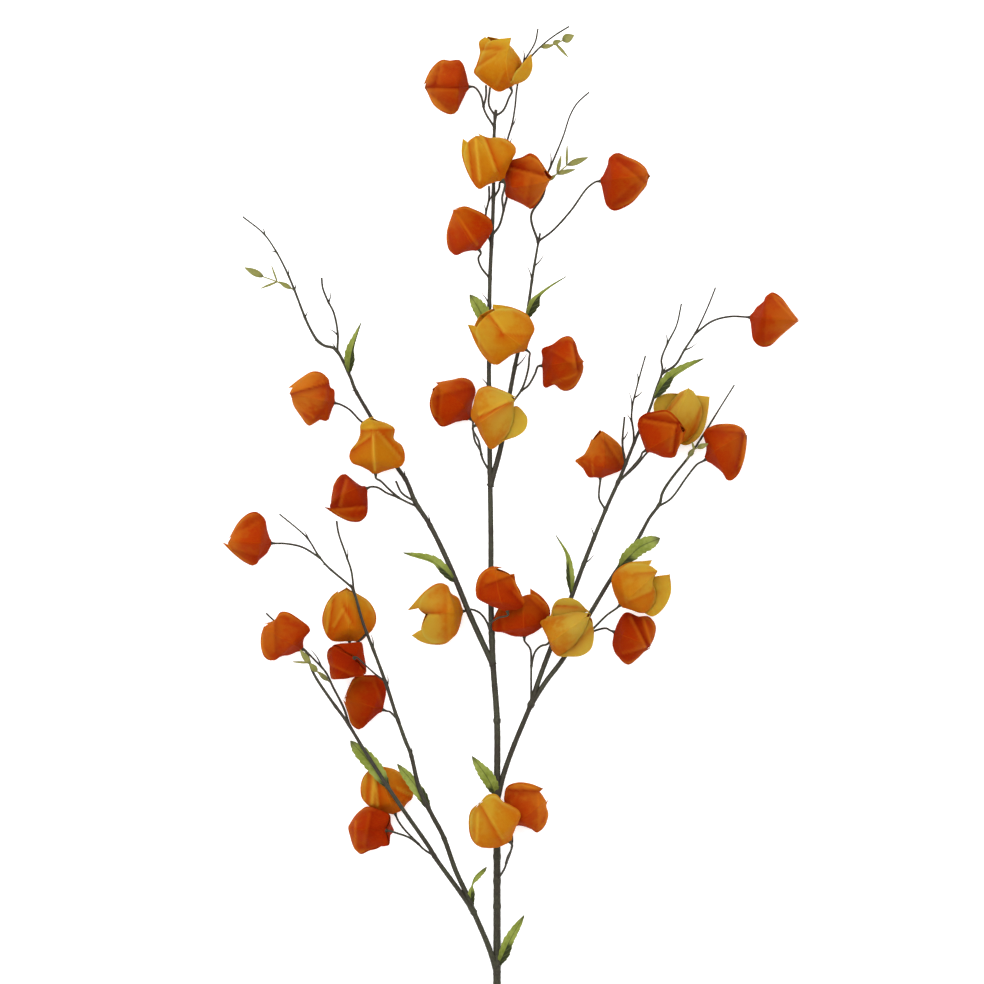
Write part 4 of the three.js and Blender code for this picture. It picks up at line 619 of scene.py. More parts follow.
SPRIGS: tuple[SprigPlan, ...] = (
    SprigPlan(
        "left_high_branch", ((295, 291), (277, 282, 21), (263, 277, 22)),
        (
            ((292, 289), (279, 282), 3.2), ((264, 277), (245, 268), 4.6), ((278, 282), (272, 266), 1.2),
            ((277, 283), (261, 289), 1.5),
        ),
    ),
    SprigPlan(
        "main_stem", ((540, 48), (556, 44, 15), (565, 40, 16)),
        (
            ((541, 48), (553, 46), 3.2), ((553, 45), (560, 41), 3.6), ((562, 41), (574, 36), 6),
            ((556, 46), (568, 58), 2),
        ),
    ),
    SprigPlan(
        "centre_branch", ((547, 183), (556, 175, 16), (568, 165, 18)),
        (
            ((549, 181), (556, 175), 2.4), ((557, 175), (575, 170), 3), ((557, 174), (561, 156), 2.4),
            ((566, 166), (567, 146), 1.6), ((567, 166), (588, 158), 4.2),
        ),
    ),
    SprigPlan(
        "left_low_branch", ((331, 682), (318, 671, 42), (310, 662, 44)),
        (
            ((329, 680), (318, 671), 3.2), ((318, 671), (310, 662), 4), ((311, 664), (301, 649), 4),
            ((306, 663), (294, 661), 1.4),
        ),
    ),
    SprigPlan(
        "right_branch", ((685, 461), (693, 450, 42), (699, 447, 50)),
        (((688, 457), (694, 448), 3.6), ((693, 449), (691, 442), 1.6), ((696, 448), (707, 444), 3.6)),
    ),
)

# --- Numbers and curves ---


def on_board(place: Place) -> Array:
    """Puts a place of the layout board in the part's frame; a height left out is not a number."""
    height = place[2] if len(place) > 2 else np.nan
    return np.array([place[0] - BOARD_MIDDLE[0], BOARD_MIDDLE[1] - place[1], height])


def wobble(piece: float, purpose: float) -> float:
    """Gives a repeatable number from -1 to 1 for a piece and a purpose.

    It is the part behind the point of a sine so tall that its digits look random.
    """
    piece_step, purpose_step, height = 12.9898, 78.233, 43758.5453
    wave = math.sin(piece * piece_step + purpose * purpose_step) * height
    return 2 * (wave - math.floor(wave)) - 1


def unit(vectors: Array) -> Array:
    """Scales each vector to length one."""
    return vectors / np.maximum(np.linalg.norm(vectors, axis=-1, keepdims=True), LEAST_LENGTH)


def square_to(along: Array) -> tuple[Array, Array]:
    """Gives the level direction to the right of each direction, and the one above both."""
    right = unit(np.cross(along, UP))
    return right, np.cross(right, along)


def smooth_step(low: float, high: float, value: Array) -> Array:
    """Rises from 0 at low to 1 at high, level at both ends: 3x² - 2x³ of the share between."""
    share = np.clip((value - low) / (high - low), 0, 1)
    return share * share * (3 - 2 * share)


def spline(points: Array, per_span: int = 24) -> Array:
    """Runs a centripetal Catmull-Rom curve through a row of points.

    Each span is a cubic between two points, whose end slopes come from the neighbours, weighted
    by the square roots of the spacings. Beyond the ends the first and last spacings repeat.

    Args:
        points: The points to pass through, one a row.
        per_span: How many steps each span is cut into.

    Returns:
        The curve's points, one a row, with the last point of the row included.
    """
    row = np.vstack([2 * points[0] - points[1], points, 2 * points[-1] - points[-2]])
    gaps = np.maximum(np.linalg.norm(np.diff(row, axis=0), axis=1), LEAST_GAP) ** 0.5
    before, here, after = (gaps[i : len(gaps) - 2 + i, None] for i in range(3))
    p0, p1, p2, p3 = (row[i : len(row) - 3 + i] for i in range(4))
    start = here * ((p1 - p0) / before - (p2 - p0) / (before + here) + (p2 - p1) / here)
    end = here * ((p2 - p1) / here - (p3 - p1) / (here + after) + (p3 - p2) / after)
    x = (np.arange(per_span) / per_span)[None, :, None]
    p1, p2, start, end = (part[:, None, :] for part in (p1, p2, start, end))
    curve = p1 + start * x + (3 * (p2 - p1) - 2 * start - end) * x**2
    curve = curve + (2 * (p1 - p2) + start + end) * x**3
    return np.vstack([curve.reshape(-1, points.shape[1]), points[-1:]])


def travelled(line: Array) -> Array:
    """Gives how far along a line each of its points lies."""
    return np.concatenate([[0.0], np.cumsum(np.linalg.norm(np.diff(line, axis=0), axis=1))])


def spaced(line: Array, places: Array) -> Array:
    """Gives the points of a line at the given distances along it."""
    along = travelled(line)
    return np.stack([np.interp(places, along, line[:, axis]) for axis in range(line.shape[1])], axis=1)


def profile(stations: tuple[tuple[float, ...], ...], shares: Array) -> Array:
    """Reads a smooth profile, given as rows of a share and its values, at some shares."""
    curve = spline(np.array(stations), 16)
    return np.stack([np.interp(shares, curve[:, 0], curve[:, i]) for i in range(1, curve.shape[1])])


def nearest(line: Array, place: Place) -> Array:
    """Finds the point of a line that lies nearest in plan to a place on the board."""
    target = on_board(place)[:2]
    return line[np.argmin(np.linalg.norm(line[:, :2] - target, axis=1))].copy()


def levelled(points: Array) -> Array:
    """Fills in the heights that a row of points leaves out, evenly by distance in plan."""
    plan = travelled(points[:, :2])
    known = np.isfinite(points[:, 2])
    points[:, 2] = np.interp(plan, plan[known], points[known, 2])
    return points


def shoot_line(places: tuple[Place, ...], root: Array) -> Array:
    """Runs a curve from where a shoot leaves its branch through its other board places."""
    return spline(np.array([root, *(on_board(place) for place in places[1:])]))


def ripple(shares: Array, seed: float, waves: tuple[float, ...]) -> Array:
    """Adds up a few sine waves with a seeded phase each, for a hand-made unevenness.

    Args:
        shares: Where to read the waves.
        seed: Sets the phases.
        waves: The number of waves over one share, for each sine.

    Returns:
        The mean of the sines, from -1 to 1.
    """
    turns = [np.sin(2 * np.pi * (count * shares + wobble(seed, count))) for count in waves]
    return np.mean(turns, axis=0)


def in_three(across: Array, along: Array, flank: Array | float = 0.0) -> Array:
    """Puts the shares across, along and round the flank of a sheet side by side."""
    return np.stack(np.broadcast_arrays(across, along, flank), axis=-1)


# --- Meshes ---


# The length in millimetres over which the corners of a three-cornered run turn by one radian.
CORNER_TWIST = 9

# The angle past which an edge stays crisp.
CRISP_ANGLE = math.radians(50.0)


@dataclass
class Skin:
    """Gathers the surfaces of one piece: points, faces and what the finishes read at each point.

    uv is the cloth's own flat measure in centimetres. place holds three shares that a finish
    may use: how far across, how far along, and how far round its flank, or -1 on an inner or
    lower face. painted_light_and_tone holds the painted shade along a cloth's folds or over a
    leaf's dark half, the painted highlight beside and on a cloth's folds, and how much yellower
    or redder its dye is than usual.
    """

    points: list[Array] = field(default_factory=list)
    faces: list[Array] = field(default_factory=list)
    uv: list[Array] = field(default_factory=list)
    place: list[Array] = field(default_factory=list)
    painted_light_and_tone: list[Array] = field(default_factory=list)
    count: int = 0

    def add(
        self, points: Array, faces: list[Array], uv: Array, place: Array,
        painted_light_and_tone: Array | None = None,
    ) -> None:
        """Adds one closed surface.

        Args:
            points: Its points in millimetres, one a row.
            faces: Arrays of faces of three or four corners each, counted from 0.
            uv: The flat measure of each point.
            place: The three shares of each point.
            painted_light_and_tone: Its painted shade, painted highlight and tone of dye, none if left out.
        """
        self.points.append(points)
        self.faces.extend(part + self.count for part in faces)
        self.uv.append(uv)
        self.place.append(place)
        self.painted_light_and_tone.append(np.zeros((len(points), 3)) if painted_light_and_tone is None else painted_light_and_tone)
        self.count += len(points)

    def round(self, line: Array, radii: Array, sides: int, lobes: float = 0.0) -> None:
        """Carries a round section along a line and closes both ends with a fan.

        At each point the ring stands square to the line: centre + radius x (cos a x across +
        sin a x above), with across level. lobes makes the section slightly three-cornered, and
        the corners turn slowly along the line.

        Args:
            line: The centres of the rings.
            radii: The radius of each ring.
            sides: How many points a ring has.
            lobes: The share of the radius by which three corners stand out.
        """
        across, above = (way[:, None] for way in square_to(unit(np.gradient(line, axis=0))))
        angle = np.linspace(0, 2 * np.pi, sides, endpoint=False)[None, :, None]
        corners = np.cos(3 * angle + line[:, :1, None] / CORNER_TWIST)
        size = radii[:, None, None] * (1 + lobes * corners)
        rings = line[:, None] + size * (np.cos(angle) * across + np.sin(angle) * above)
        rows = len(line)
        grid = np.arange(rows * sides).reshape(rows, sides)
        turned = np.roll(grid, -1, axis=1)
        walls = np.stack([grid[:-1], grid[1:], turned[1:], turned[:-1]], axis=-1).reshape(-1, 4)
        first, last = rows * sides, rows * sides + 1
        near = np.stack([np.full(sides, first), grid[0], turned[0]], axis=-1)
        far = np.stack([np.full(sides, last), turned[-1], grid[-1]], axis=-1)
        points = np.vstack([rings.reshape(-1, 3), line[:1], line[-1:]])
        length = travelled(line)
        share = np.concatenate([np.repeat(length / length[-1], sides), [0, 1]])
        turn = np.concatenate([np.tile(np.abs(2 * np.arange(sides) / sides - 1), rows), [0, 0]])
        reach = np.concatenate([np.repeat(length, sides), [0, length[-1]]])
        uv = np.stack([turn, reach / CENTIMETRE], axis=-1)
        self.add(points, [walls, near, far], uv, in_three(turn, share))

    def cloth(
        self, grid: Array, thickness: float | Array, uv: Array, place: Array,
        painted_light_and_tone: Array | None = None,
    ) -> None:
        """Gives thickness to a sheet of points and closes it round its edge.

        The faces lie half the thickness to each side of the sheet, along the cross product of
        its two directions. The outer face is the one that the rows and columns turn round
        anticlockwise.

        Args:
            grid: The sheet's points, rows by columns.
            thickness: Of the cloth, or one value for each point.
            uv: The flat measure of each point, rows by columns.
            place: The three shares of each point of the outer face, rows by columns.
            painted_light_and_tone: Its painted shade, painted highlight and tone of dye, rows by columns,
                none if left out.
        """
        rows, columns = grid.shape[:2]
        normal = unit(np.cross(np.gradient(grid, axis=1), np.gradient(grid, axis=0)))
        half = np.broadcast_to(np.asarray(thickness, float), (rows, columns))[..., None] / 2
        points = np.vstack([(grid + half * normal).reshape(-1, 3), (grid - half * normal).reshape(-1, 3)])
        number = np.arange(rows * columns).reshape(rows, columns)
        a, b = number[:-1, :-1], number[:-1, 1:]
        c, d = number[1:, 1:], number[1:, :-1]
        top = np.stack([a, b, c, d], axis=-1).reshape(-1, 4)
        under = np.stack([a, d, c, b], axis=-1).reshape(-1, 4) + rows * columns
        rim = np.concatenate([number[0, :-1], number[:-1, -1], number[-1, :0:-1], number[:0:-1, 0]])
        on = np.roll(rim, -1)
        wall = np.stack([on, rim, rim + rows * columns, on + rows * columns], axis=-1)
        inner = place.copy()
        inner[..., 2] = -1
        shares = np.vstack([place.reshape(-1, 3), inner.reshape(-1, 3)])
        both = None if painted_light_and_tone is None else np.tile(painted_light_and_tone.reshape(-1, 3), (2, 1))
        self.add(points, [top, under, wall], np.tile(uv.reshape(-1, 2), (2, 1)), shares, both)

    def build(self, name: str, finish: Material) -> Object:
        """Makes the piece's object, in metres, with its finish.

        Args:
            name: The piece's name.
            finish: The material it wears.

        Returns:
            The object, at the origin, with its place in its mesh.
        """
        mesh = bpy.data.meshes.new(name)
        points = np.vstack(self.points) * MM
        faces = [corner for part in self.faces for corner in part.tolist()]
        mesh.from_pydata(points.tolist(), [], faces)
        mesh.update()
        corners = np.empty(len(mesh.loops), dtype=np.int32)
        mesh.loops.foreach_get("vertex_index", corners)
        layer = mesh.uv_layers.new(name="cloth")
        layer.data.foreach_set("uv", np.vstack(self.uv)[corners].astype(np.float32).ravel())
        # the painted shade and painted highlight of folds and leaves, with the tone of dye, go into the mesh
        # beside place
        for key, shares in (("place", self.place), ("painted_light_and_tone", self.painted_light_and_tone)):
            values = mesh.attributes.new(key, "FLOAT_VECTOR", "POINT").data
            values.foreach_set("vector", np.vstack(shares).astype(np.float32).ravel())
        mesh.polygons.foreach_set("use_smooth", np.ones(len(mesh.polygons), dtype=bool))
        mesh.set_sharp_from_angle(angle=CRISP_ANGLE)
        mesh.materials.append(finish)
        return add_object(name, mesh)


def add_object(name: str, data: ID) -> Object:
    """Makes an object of a mesh, a lamp or a camera and adds it to the scene."""
    thing = bpy.data.objects.new(name, data)
    bpy.context.scene.collection.objects.link(thing)
    return thing


def fit(skin: Skin, node: str, what: str, finish: Material) -> None:
    """Makes a node's finer piece, puts it in place of its plain solid, and reports it."""
    piece = skin.build(f"{node}_{what}", finish)
    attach(piece, "root")
    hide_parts(node)
    log.info("%s: %d faces for %s", piece.name, len(piece.data.polygons), node)


# --- Finishes ---


def dye(code: str) -> tuple[float, float, float, float]:
    """Turns a six-digit screen colour into the linear colour that the shaders use."""
    parts = np.array([int(code[i : i + 2], 16) for i in (0, 2, 4)]) / 255
    linear = np.where(parts <= 0.04045, parts / 12.92, ((parts + 0.055) / 1.055) ** 2.4)
    return (*linear.tolist(), 1.0)


@dataclass
class Tree:
    """Adds and joins the nodes of one material or group."""

    tree: NodeTree

    def add(self, kind: str, inputs: dict[Any, Any] | None = None, **settings: Any) -> Node:
        """Adds a node.

        Args:
            kind: The node's type, without the prefix of shader nodes.
            inputs: A value or another node's output for each named or numbered input.
            settings: Properties of the node.

        Returns:
            The node.
        """
        node = self.tree.nodes.new(kind if kind.startswith("Node") else f"ShaderNode{kind}")
        for name, value in settings.items():
            setattr(node, name, value)
        for key, value in (inputs or {}).items():
            self.put(value, node.inputs[key])
        return node

    def put(self, value: Any, socket: NodeSocket) -> None:
        """Links another node's output to a socket, or sets the socket's own value."""
        if isinstance(value, NodeSocket):
            self.tree.links.new(value, socket)
        else:
            socket.default_value = value

    def shares(self, name: str) -> list[NodeSocket]:
        """Reads the three shares that a mesh holds under a name."""
        vector = self.add("Attribute", attribute_name=name).outputs["Vector"]
        return list(self.add("SeparateXYZ", {0: vector}).outputs)

    def math(self, operation: str, *values: Any, clamp: bool = False) -> NodeSocket:
        """Works out one value from others with a Math node."""
        return self.add("Math", dict(enumerate(values)), operation=operation, use_clamp=clamp).outputs[0]

    def times(self, first: Any, second: Any) -> NodeSocket:
        """Multiplies two values."""
        return self.math("MULTIPLY", first, second)

    def mix(self, factor: Any, first: Any, second: Any) -> NodeSocket:
        """Mixes two colours; a Mix node's colours are its inputs 6 and 7 and its output 2."""
        return self.add("Mix", {0: factor, 6: first, 7: second}, data_type="RGBA").outputs[2]

    def clouds(self, effect: NodeTree, first: str, second: str, size: float, amount: float) -> Any:
        """Places the effect of uneven colour between two dyes and gives its outputs."""
        inputs = {"Colour": dye(first), "Cloud": dye(second), "Size": size, "Amount": amount}
        return self.group(effect, inputs).outputs

    def layered(self, colour: Any, layers: tuple[tuple[Any, str], ...]) -> NodeSocket:
        """Lays dyes over a colour one after the other, each by its own share."""
        for share, code in layers:
            colour = self.mix(share, colour, dye(code))
        return colour

    def between(
        self, value: Any, low: float, high: float, start: float = 0.0, end: float = 1.0
    ) -> NodeSocket:
        """Maps a value smoothly from the range low to high onto the range start to end."""
        inputs = {"Value": value, "From Min": low, "From Max": high, "To Min": start, "To Max": end}
        return self.add("MapRange", inputs, interpolation_type="SMOOTHSTEP").outputs[0]

    def ramp(self, value: Any, stops: tuple[tuple[float, str], ...]) -> NodeSocket:
        """Turns a value into a colour that changes smoothly through some stops."""
        node = self.add("ValToRGB", {"Fac": value})
        node.color_ramp.interpolation = "EASE"
        elements = node.color_ramp.elements
        while len(elements) < len(stops):
            elements.new(1.0)
        for element, (position, code) in zip(elements, stops):
            element.position = position
            element.color = dye(code)
        return node.outputs[0]

    def noise(self, vector: Any, scale: Any, detail: float = 2.0, roughness: float = 0.5) -> NodeSocket:
        """Reads a soft random value from 0 to 1."""
        inputs = {"Vector": vector, "Scale": scale, "Detail": detail, "Roughness": roughness}
        return self.add("TexNoise", inputs).outputs[0]

    def group(self, group: NodeTree, inputs: dict[str, Any]) -> Node:
        """Places a shared effect."""
        return self.add("Group", inputs, node_tree=group)


def new_group(name: str, takes: dict[str, tuple[str, Any]], gives: dict[str, str]) -> tuple[Tree, Any, Any]:
    """Starts a shared effect.

    Args:
        name: The effect's name.
        takes: The kind and the usual value of each named input.
        gives: The kind of each named output.

    Returns:
        The group's tree, its inputs by name and its output node.
    """
    group = bpy.data.node_groups.new(name, "ShaderNodeTree")
    for key, (kind, usual) in takes.items():
        socket = group.interface.new_socket(name=key, in_out="INPUT", socket_type=f"NodeSocket{kind}")
        socket.default_value = usual
    for key, kind in gives.items():
        group.interface.new_socket(name=key, in_out="OUTPUT", socket_type=f"NodeSocket{kind}")
    tree = Tree(group)
    return tree, tree.add("NodeGroupInput").outputs, tree.add("NodeGroupOutput").inputs


def mottle_group() -> NodeTree:
    """Makes the effect of uneven colour: broad clouds and fine flecks on Object coordinates.

    The mask is 0.65 x a broad noise + 0.35 x a noise five times finer, whose middle part from
    0.36 to 0.64 is stretched to the full range, and the colour is mixed towards the second one
    by the mask times the amount.
    """
    takes = {
        "Colour": ("Color", (1, 1, 1, 1)),
        "Cloud": ("Color", (1, 1, 1, 1)),
        "Size": ("Float", 40.0),
        "Amount": ("Float", 0.5),
    }
    tree, given, result = new_group("mottle", takes, {"Colour": "Color", "Mask": "Float"})
    place = tree.add("TexCoord").outputs["Object"]
    broad = tree.noise(place, given["Size"], 3.0)
    fine = tree.noise(place, tree.times(given["Size"], 5.0), 2.0)
    both = tree.math("ADD", tree.times(broad, 0.65), tree.times(fine, 0.35))
    mask = tree.between(both, 0.36, 0.64)
    factor = tree.times(mask, given["Amount"])
    tree.put(tree.mix(factor, given["Colour"], given["Cloud"]), result["Colour"])
    tree.put(mask, result["Mask"])
    return tree.tree


def weave_group() -> NodeTree:
    """Makes the effect of plain-woven cloth on the piece's own UV map.

    Threads is their number to the centimetre. The height is the product of a sine across and a
    sine along, which reads as threads over and under; slubs, a noise drawn out along the
    cloth, thicken some of them.
    """
    takes = {"Threads": ("Float", 22.0), "Slub": ("Float", 0.3)}
    tree, given, result = new_group("weave", takes, {"Height": "Float", "Mask": "Float"})
    flat = tree.add("UVMap", uv_map="cloth").outputs[0]
    split = tree.add("SeparateXYZ", {0: flat}).outputs
    turns = tree.times(given["Threads"], math.pi)
    warp = tree.math("SINE", tree.times(split[0], turns))
    weft = tree.math("SINE", tree.times(split[1], turns))
    over = tree.times(warp, weft)
    stretch = tree.add("Mapping", {"Vector": flat, "Scale": (9.0, 1.2, 1.0)}).outputs[0]
    slub = tree.noise(stretch, 3.0, 2.0)
    uneven = tree.times(tree.math("SUBTRACT", slub, 0.5), given["Slub"])
    height = tree.math("ADD", tree.times(over, 0.5), uneven)
    tree.put(height, result["Height"])
    tree.put(slub, result["Mask"])
    return tree.tree


def grain_group() -> NodeTree:
    """Makes the effect of moulded bark: long furrows round a run and small pits.

    The furrows are a noise on the UV map, drawn out along the run; the pits are a fine noise on
    Object coordinates. The height is 0.7 x furrows + 0.3 x pits.
    """
    takes = {"Furrows": ("Float", 9.0), "Pits": ("Float", 900.0)}
    tree, given, result = new_group("grain", takes, {"Height": "Float", "Mask": "Float"})
    flat = tree.add("UVMap", uv_map="cloth").outputs[0]
    drawn = tree.add("Mapping", {"Vector": flat, "Scale": (1.0, 0.35, 1.0)}).outputs[0]
    furrow = tree.noise(drawn, given["Furrows"], 3.0, 0.6)
    pits = tree.noise(tree.add("TexCoord").outputs["Object"], given["Pits"], 1.0)
    height = tree.math("ADD", tree.times(furrow, 0.7), tree.times(pits, 0.3))
    tree.put(height, result["Height"])
    tree.put(tree.between(furrow, 0.4, 0.62), result["Mask"])
    return tree.tree


@dataclass(frozen=True)
class Effects:
    """The shared effects, built once."""

    mottle: NodeTree
    weave: NodeTree
    grain: NodeTree


def start_finish(name: str, constants: dict[str, Any]) -> tuple[Material, Tree]:
    """Starts a material with one Principled shader.

    Args:
        name: The finish's name.
        constants: Values set on the shader itself, by the name of its input.

    Returns:
        The material and its tree.
    """
    material = bpy.data.materials.new(name)
    material.use_nodes = True
    shader = material.node_tree.nodes["Principled BSDF"]
    for key, value in constants.items():
        shader.inputs[key].default_value = value
    return material, Tree(material.node_tree)


def end_finish(tree: Tree, colour: Any, rough: Any, height: Any, depth: float) -> None:
    """Joins a colour, a roughness and a bump of a depth in millimetres to the shader."""
    bump = tree.add("Bump", {"Strength": 1.0, "Distance": depth * MM, "Height": height})
    shader = tree.tree.nodes["Principled BSDF"]
    for key, value in {"Base Color": colour, "Roughness": rough, "Normal": bump.outputs[0]}.items():
        tree.put(value, shader.inputs[key])


@dataclass(frozen=True)
class ClothFinish:
    """Dyed cloth of the petals: its colour along the petal, at its ears, its edges and inside."""

    name: str
    base: str
    body: str
    tip: str
    ear: str
    edge: str
    rib: str
    cloud: str
    crease: str
    inside: str

    SHADER: ClassVar[dict[str, Any]] = {
        "Specular IOR Level": 0.015, "Subsurface Weight": 0.35,
        "Subsurface Radius": (1.0, 0.4, 0.08), "Subsurface Scale": 3.0 * MM,
    }

    def material(self, effects: Effects) -> Material:
        """Builds the finish.

        The colour runs along the petal through base, body and tip, and turns deeper towards
        the ears at its flanks. Broad clouds of a second dye, fine streaks along the petal, a
        rib down the keel and a paler edge lie on it. On the folds of the near face the crease
        colour is painted shade and the rib's colour a painted highlight, and a lantern's warmth
        turns all of it yellower or redder. The inner face has a colour of its own.
        """
        material, tree = start_finish(self.name, self.SHADER)
        across, along, flank = tree.shares("place")
        # painted shade and painted highlight along the folds, and the lantern's own warmth of dye
        depth, fold_highlight, warm = tree.shares("painted_light_and_tone")
        side = tree.math("ABSOLUTE", across)
        weave = tree.group(effects.weave, {"Threads": 20.0, "Slub": 0.5}).outputs
        cloud = tree.clouds(effects.mottle, "000000", "ffffff", 30.0, 1.0)["Mask"]
        share = tree.math("ADD", along, tree.times(tree.math("SUBTRACT", cloud, 0.5), 0.3))
        colour = tree.ramp(share, ((0.1, self.base), (0.45, self.body), (0.85, self.tip)))
        ear = tree.times(tree.between(flank, 0.45, 0.95, 0.0, 0.8), tree.between(share, 0.95, 0.45))
        rim = tree.times(tree.between(side, 0.82, 1.0), tree.between(along, 0.3, 0.85, 0.0, 0.75))
        rib = tree.times(tree.between(side, 0.0, 0.05, 0.2, 0.0), tree.between(along, 0.05, 0.3))
        yellow = tree.times(tree.between(warm, 0.0, 1.0), tree.between(share, 0.3, 0.9, 0.05, 0.65))
        layers = (
            (ear, self.ear),
            (tree.times(cloud, 0.5), self.cloud),
            (tree.between(weave["Mask"], 0.35, 0.65, 0.0, 0.18), self.tip),
            (rim, self.edge),
            (yellow, self.edge),
            (tree.between(warm, 0.0, -1.0, 0.0, 0.45), self.crease),
            # painted shade in the crease colour on one side of each fold of the near face
            (tree.times(depth, 0.9), self.crease),
            # the rib's own paler line, and a painted highlight in the rib's colour beside sunk folds and on
            # raised ones
            (tree.math("MAXIMUM", rib, tree.math("MULTIPLY", fold_highlight, 0.6, clamp=True)), self.rib),
            (tree.between(flank, -0.6, -0.4, 0.75, 0.0), self.inside),
        )
        rough = tree.between(weave["Mask"], 0.3, 0.7, 0.55, 0.75)
        end_finish(tree, tree.layered(colour, layers), rough, weave["Height"], 0.12)
        return material


@dataclass(frozen=True)
class BarkFinish:
    """Plastic-coated stem: olive with brown patches, darker in its furrows."""

    name: str
    olive: str
    brown: str
    furrow: str

    def material(self, effects: Effects) -> Material:
        """Builds the finish: broad brown patches on olive, and furrows in colour and height."""
        material, tree = start_finish(self.name, {"Specular IOR Level": 0.2})
        colour = tree.clouds(effects.mottle, self.olive, self.brown, 30.0, 0.85)["Colour"]
        grain = tree.group(effects.grain, {}).outputs
        colour = tree.mix(tree.times(grain["Mask"], 0.6), colour, dye(self.furrow))
        rough = tree.between(grain["Height"], 0.3, 0.7, 0.62, 0.42)
        end_finish(tree, colour, rough, grain["Height"], 0.35)
        return material


# How far a leaf's side veins slant, as the number of teeth that they pass on the way out.
VEIN_SLANT = 1.3


@dataclass(frozen=True)
class LeafFinish:
    """Printed leaf cloth: green with pale side veins, dark at the root, the midrib and the tip."""

    name: str
    green: str
    light: str
    dark: str
    vein: str
    under: str
    tip: str
    teeth: float

    def material(self, effects: Effects) -> Material:
        """Builds the finish.

        Side veins run where the share along the leaf times the number of teeth, less the slant
        times the share across, is near a whole number; the midrib is where the share across
        is 0.
        """
        material, tree = start_finish(self.name, {"Specular IOR Level": 0.15})
        across, along, flank = tree.shares("place")
        painted_shade = tree.shares("painted_light_and_tone")[0]
        side = tree.math("ABSOLUTE", across)
        colour = tree.clouds(effects.mottle, self.green, self.light, 60.0, 0.7)["Colour"]
        phase = tree.math("SUBTRACT", tree.times(along, self.teeth), tree.times(side, VEIN_SLANT))
        near = tree.math("ABSOLUTE", tree.math("SUBTRACT", tree.math("FRACT", phase), 0.5))
        lateral = tree.between(near, 0.36, 0.5, 0.0, 0.2)
        midrib = tree.between(side, 0.02, 0.14, 0.5, 0.0)
        layers = (
            (tree.between(along, 0.0, 0.4, 0.7, 0.0), self.dark),
            (tree.between(along, 0.82, 1.0, 0.0, 0.85), self.tip),
            # painted shade in the dark colour over the half of a leaf that would be turned away
            (tree.times(painted_shade, 0.94), self.dark),
            (lateral, self.vein),
            (midrib, self.dark),
            (tree.between(side, 0.9, 1.0, 0.0, 0.5), self.light),
            (tree.between(flank, -0.6, -0.4, 0.85, 0.0), self.under),
        )
        colour = tree.layered(colour, layers)
        weave = tree.group(effects.weave, {"Threads": 24.0, "Slub": 0.3}).outputs
        veins = tree.math("MAXIMUM", lateral, midrib)
        height = tree.math("SUBTRACT", tree.times(weave["Height"], 0.3), veins)
        rough = tree.between(weave["Mask"], 0.3, 0.7, 0.55, 0.7)
        end_finish(tree, colour, rough, height, 0.2)
        return material


@dataclass(frozen=True)
class SprigFinish:
    """Moulded sprigs: pale tan blades with green clouds and a greyer stalk end."""

    name: str
    pale: str
    green: str
    stalk: str

    def material(self, effects: Effects) -> Material:
        """Builds the finish: green clouds on tan, and the stalk's colour at each blade's base."""
        material, tree = start_finish(self.name, {"Specular IOR Level": 0.2})
        along = tree.shares("place")[1]
        colour = tree.clouds(effects.mottle, self.pale, self.green, 80.0, 0.75)["Colour"]
        colour = tree.mix(tree.between(along, 0.0, 0.3, 0.7, 0.0), colour, dye(self.stalk))
        grain = tree.group(effects.grain, {"Furrows": 14.0}).outputs
        rough = tree.between(grain["Height"], 0.3, 0.7, 0.65, 0.48)
        end_finish(tree, colour, rough, grain["Height"], 0.15)
        return material


@dataclass(frozen=True)
class FloorFinish:
    """Plain pale floor."""

    name: str
    colour: str

    def material(self, effects: Effects) -> Material:
        """Builds the finish: one pale colour with a trace of cloud."""
        material, tree = start_finish(self.name, {"Specular IOR Level": 0.0, "Emission Strength": 0.35})
        made = tree.clouds(effects.mottle, self.colour, "ffffff", 2.0, 0.3)
        rough = tree.between(made["Mask"], 0.0, 1.0, 0.9, 1.0)
        end_finish(tree, made["Colour"], rough, made["Mask"], 0.0)
        return material


class Finish(Enum):
    """The finishes of the spray and of its floor."""

    BARK = BarkFinish("bark", olive="3a3a2a", brown="2e251e", furrow="14120d")
    # crease is the redder dye and also the painted shade of the folds; rib is the rib's line and also the
    # painted highlight of the folds
    RED = ClothFinish(
        "red_cloth", base="821800", body="902600", tip="a04e06", ear="841900",
        edge="b06a1c", rib="ac5a10", cloud="7e1600", crease="701000", inside="933f04",
    )
    AMBER = ClothFinish(
        "amber_cloth", base="9b4a00", body="9f6006", tip="a5841e", ear="9f4600",
        edge="a8923a", rib="b8942c", cloud="a05004", crease="983600", inside="ab7115",
    )
    LEAF = LeafFinish(
        "leaf_cloth", green="646f22", light="868f45", dark="1c230a", vein="8a9256",
        under="3a431a", tip="403f2c", teeth=9.0,
    )
    SPRIG = SprigFinish("sprig_plastic", pale="7e7a42", green="656b32", stalk="3a3626")
    FLOOR = FloorFinish("pale_floor", colour="fafafa")


# --- Lanterns ---

PETAL_ROWS = np.concatenate(
    [np.linspace(0.02, 0.5, 22), np.linspace(0.53, 0.88, 12), np.linspace(0.9, 1.0, 6)]
)
PETAL_COLUMNS = np.linspace(-1.0, 1.0, 27)
PETAL_BODY = np.sin(np.pi * PETAL_ROWS[:, None]) ** 0.7

# Share of the length ahead, then the radius and the share of the mouth that a keel stands at.
KEEL_SHAPE = np.array((
    (0.0, 0.0, 0.0), (0.1, 0.4, 0.0), (0.2, 0.84, 0.0), (0.25, 1.0, 0.0), (0.32, 1.04, 0.0),
    (0.45, 1.02, 0.0), (0.58, 0.95, 0.03), (0.72, 0.82, 0.12), (0.85, 0.6, 0.32),
    (0.94, 0.34, 0.6), (1.0, 0.0, 1.0),
))

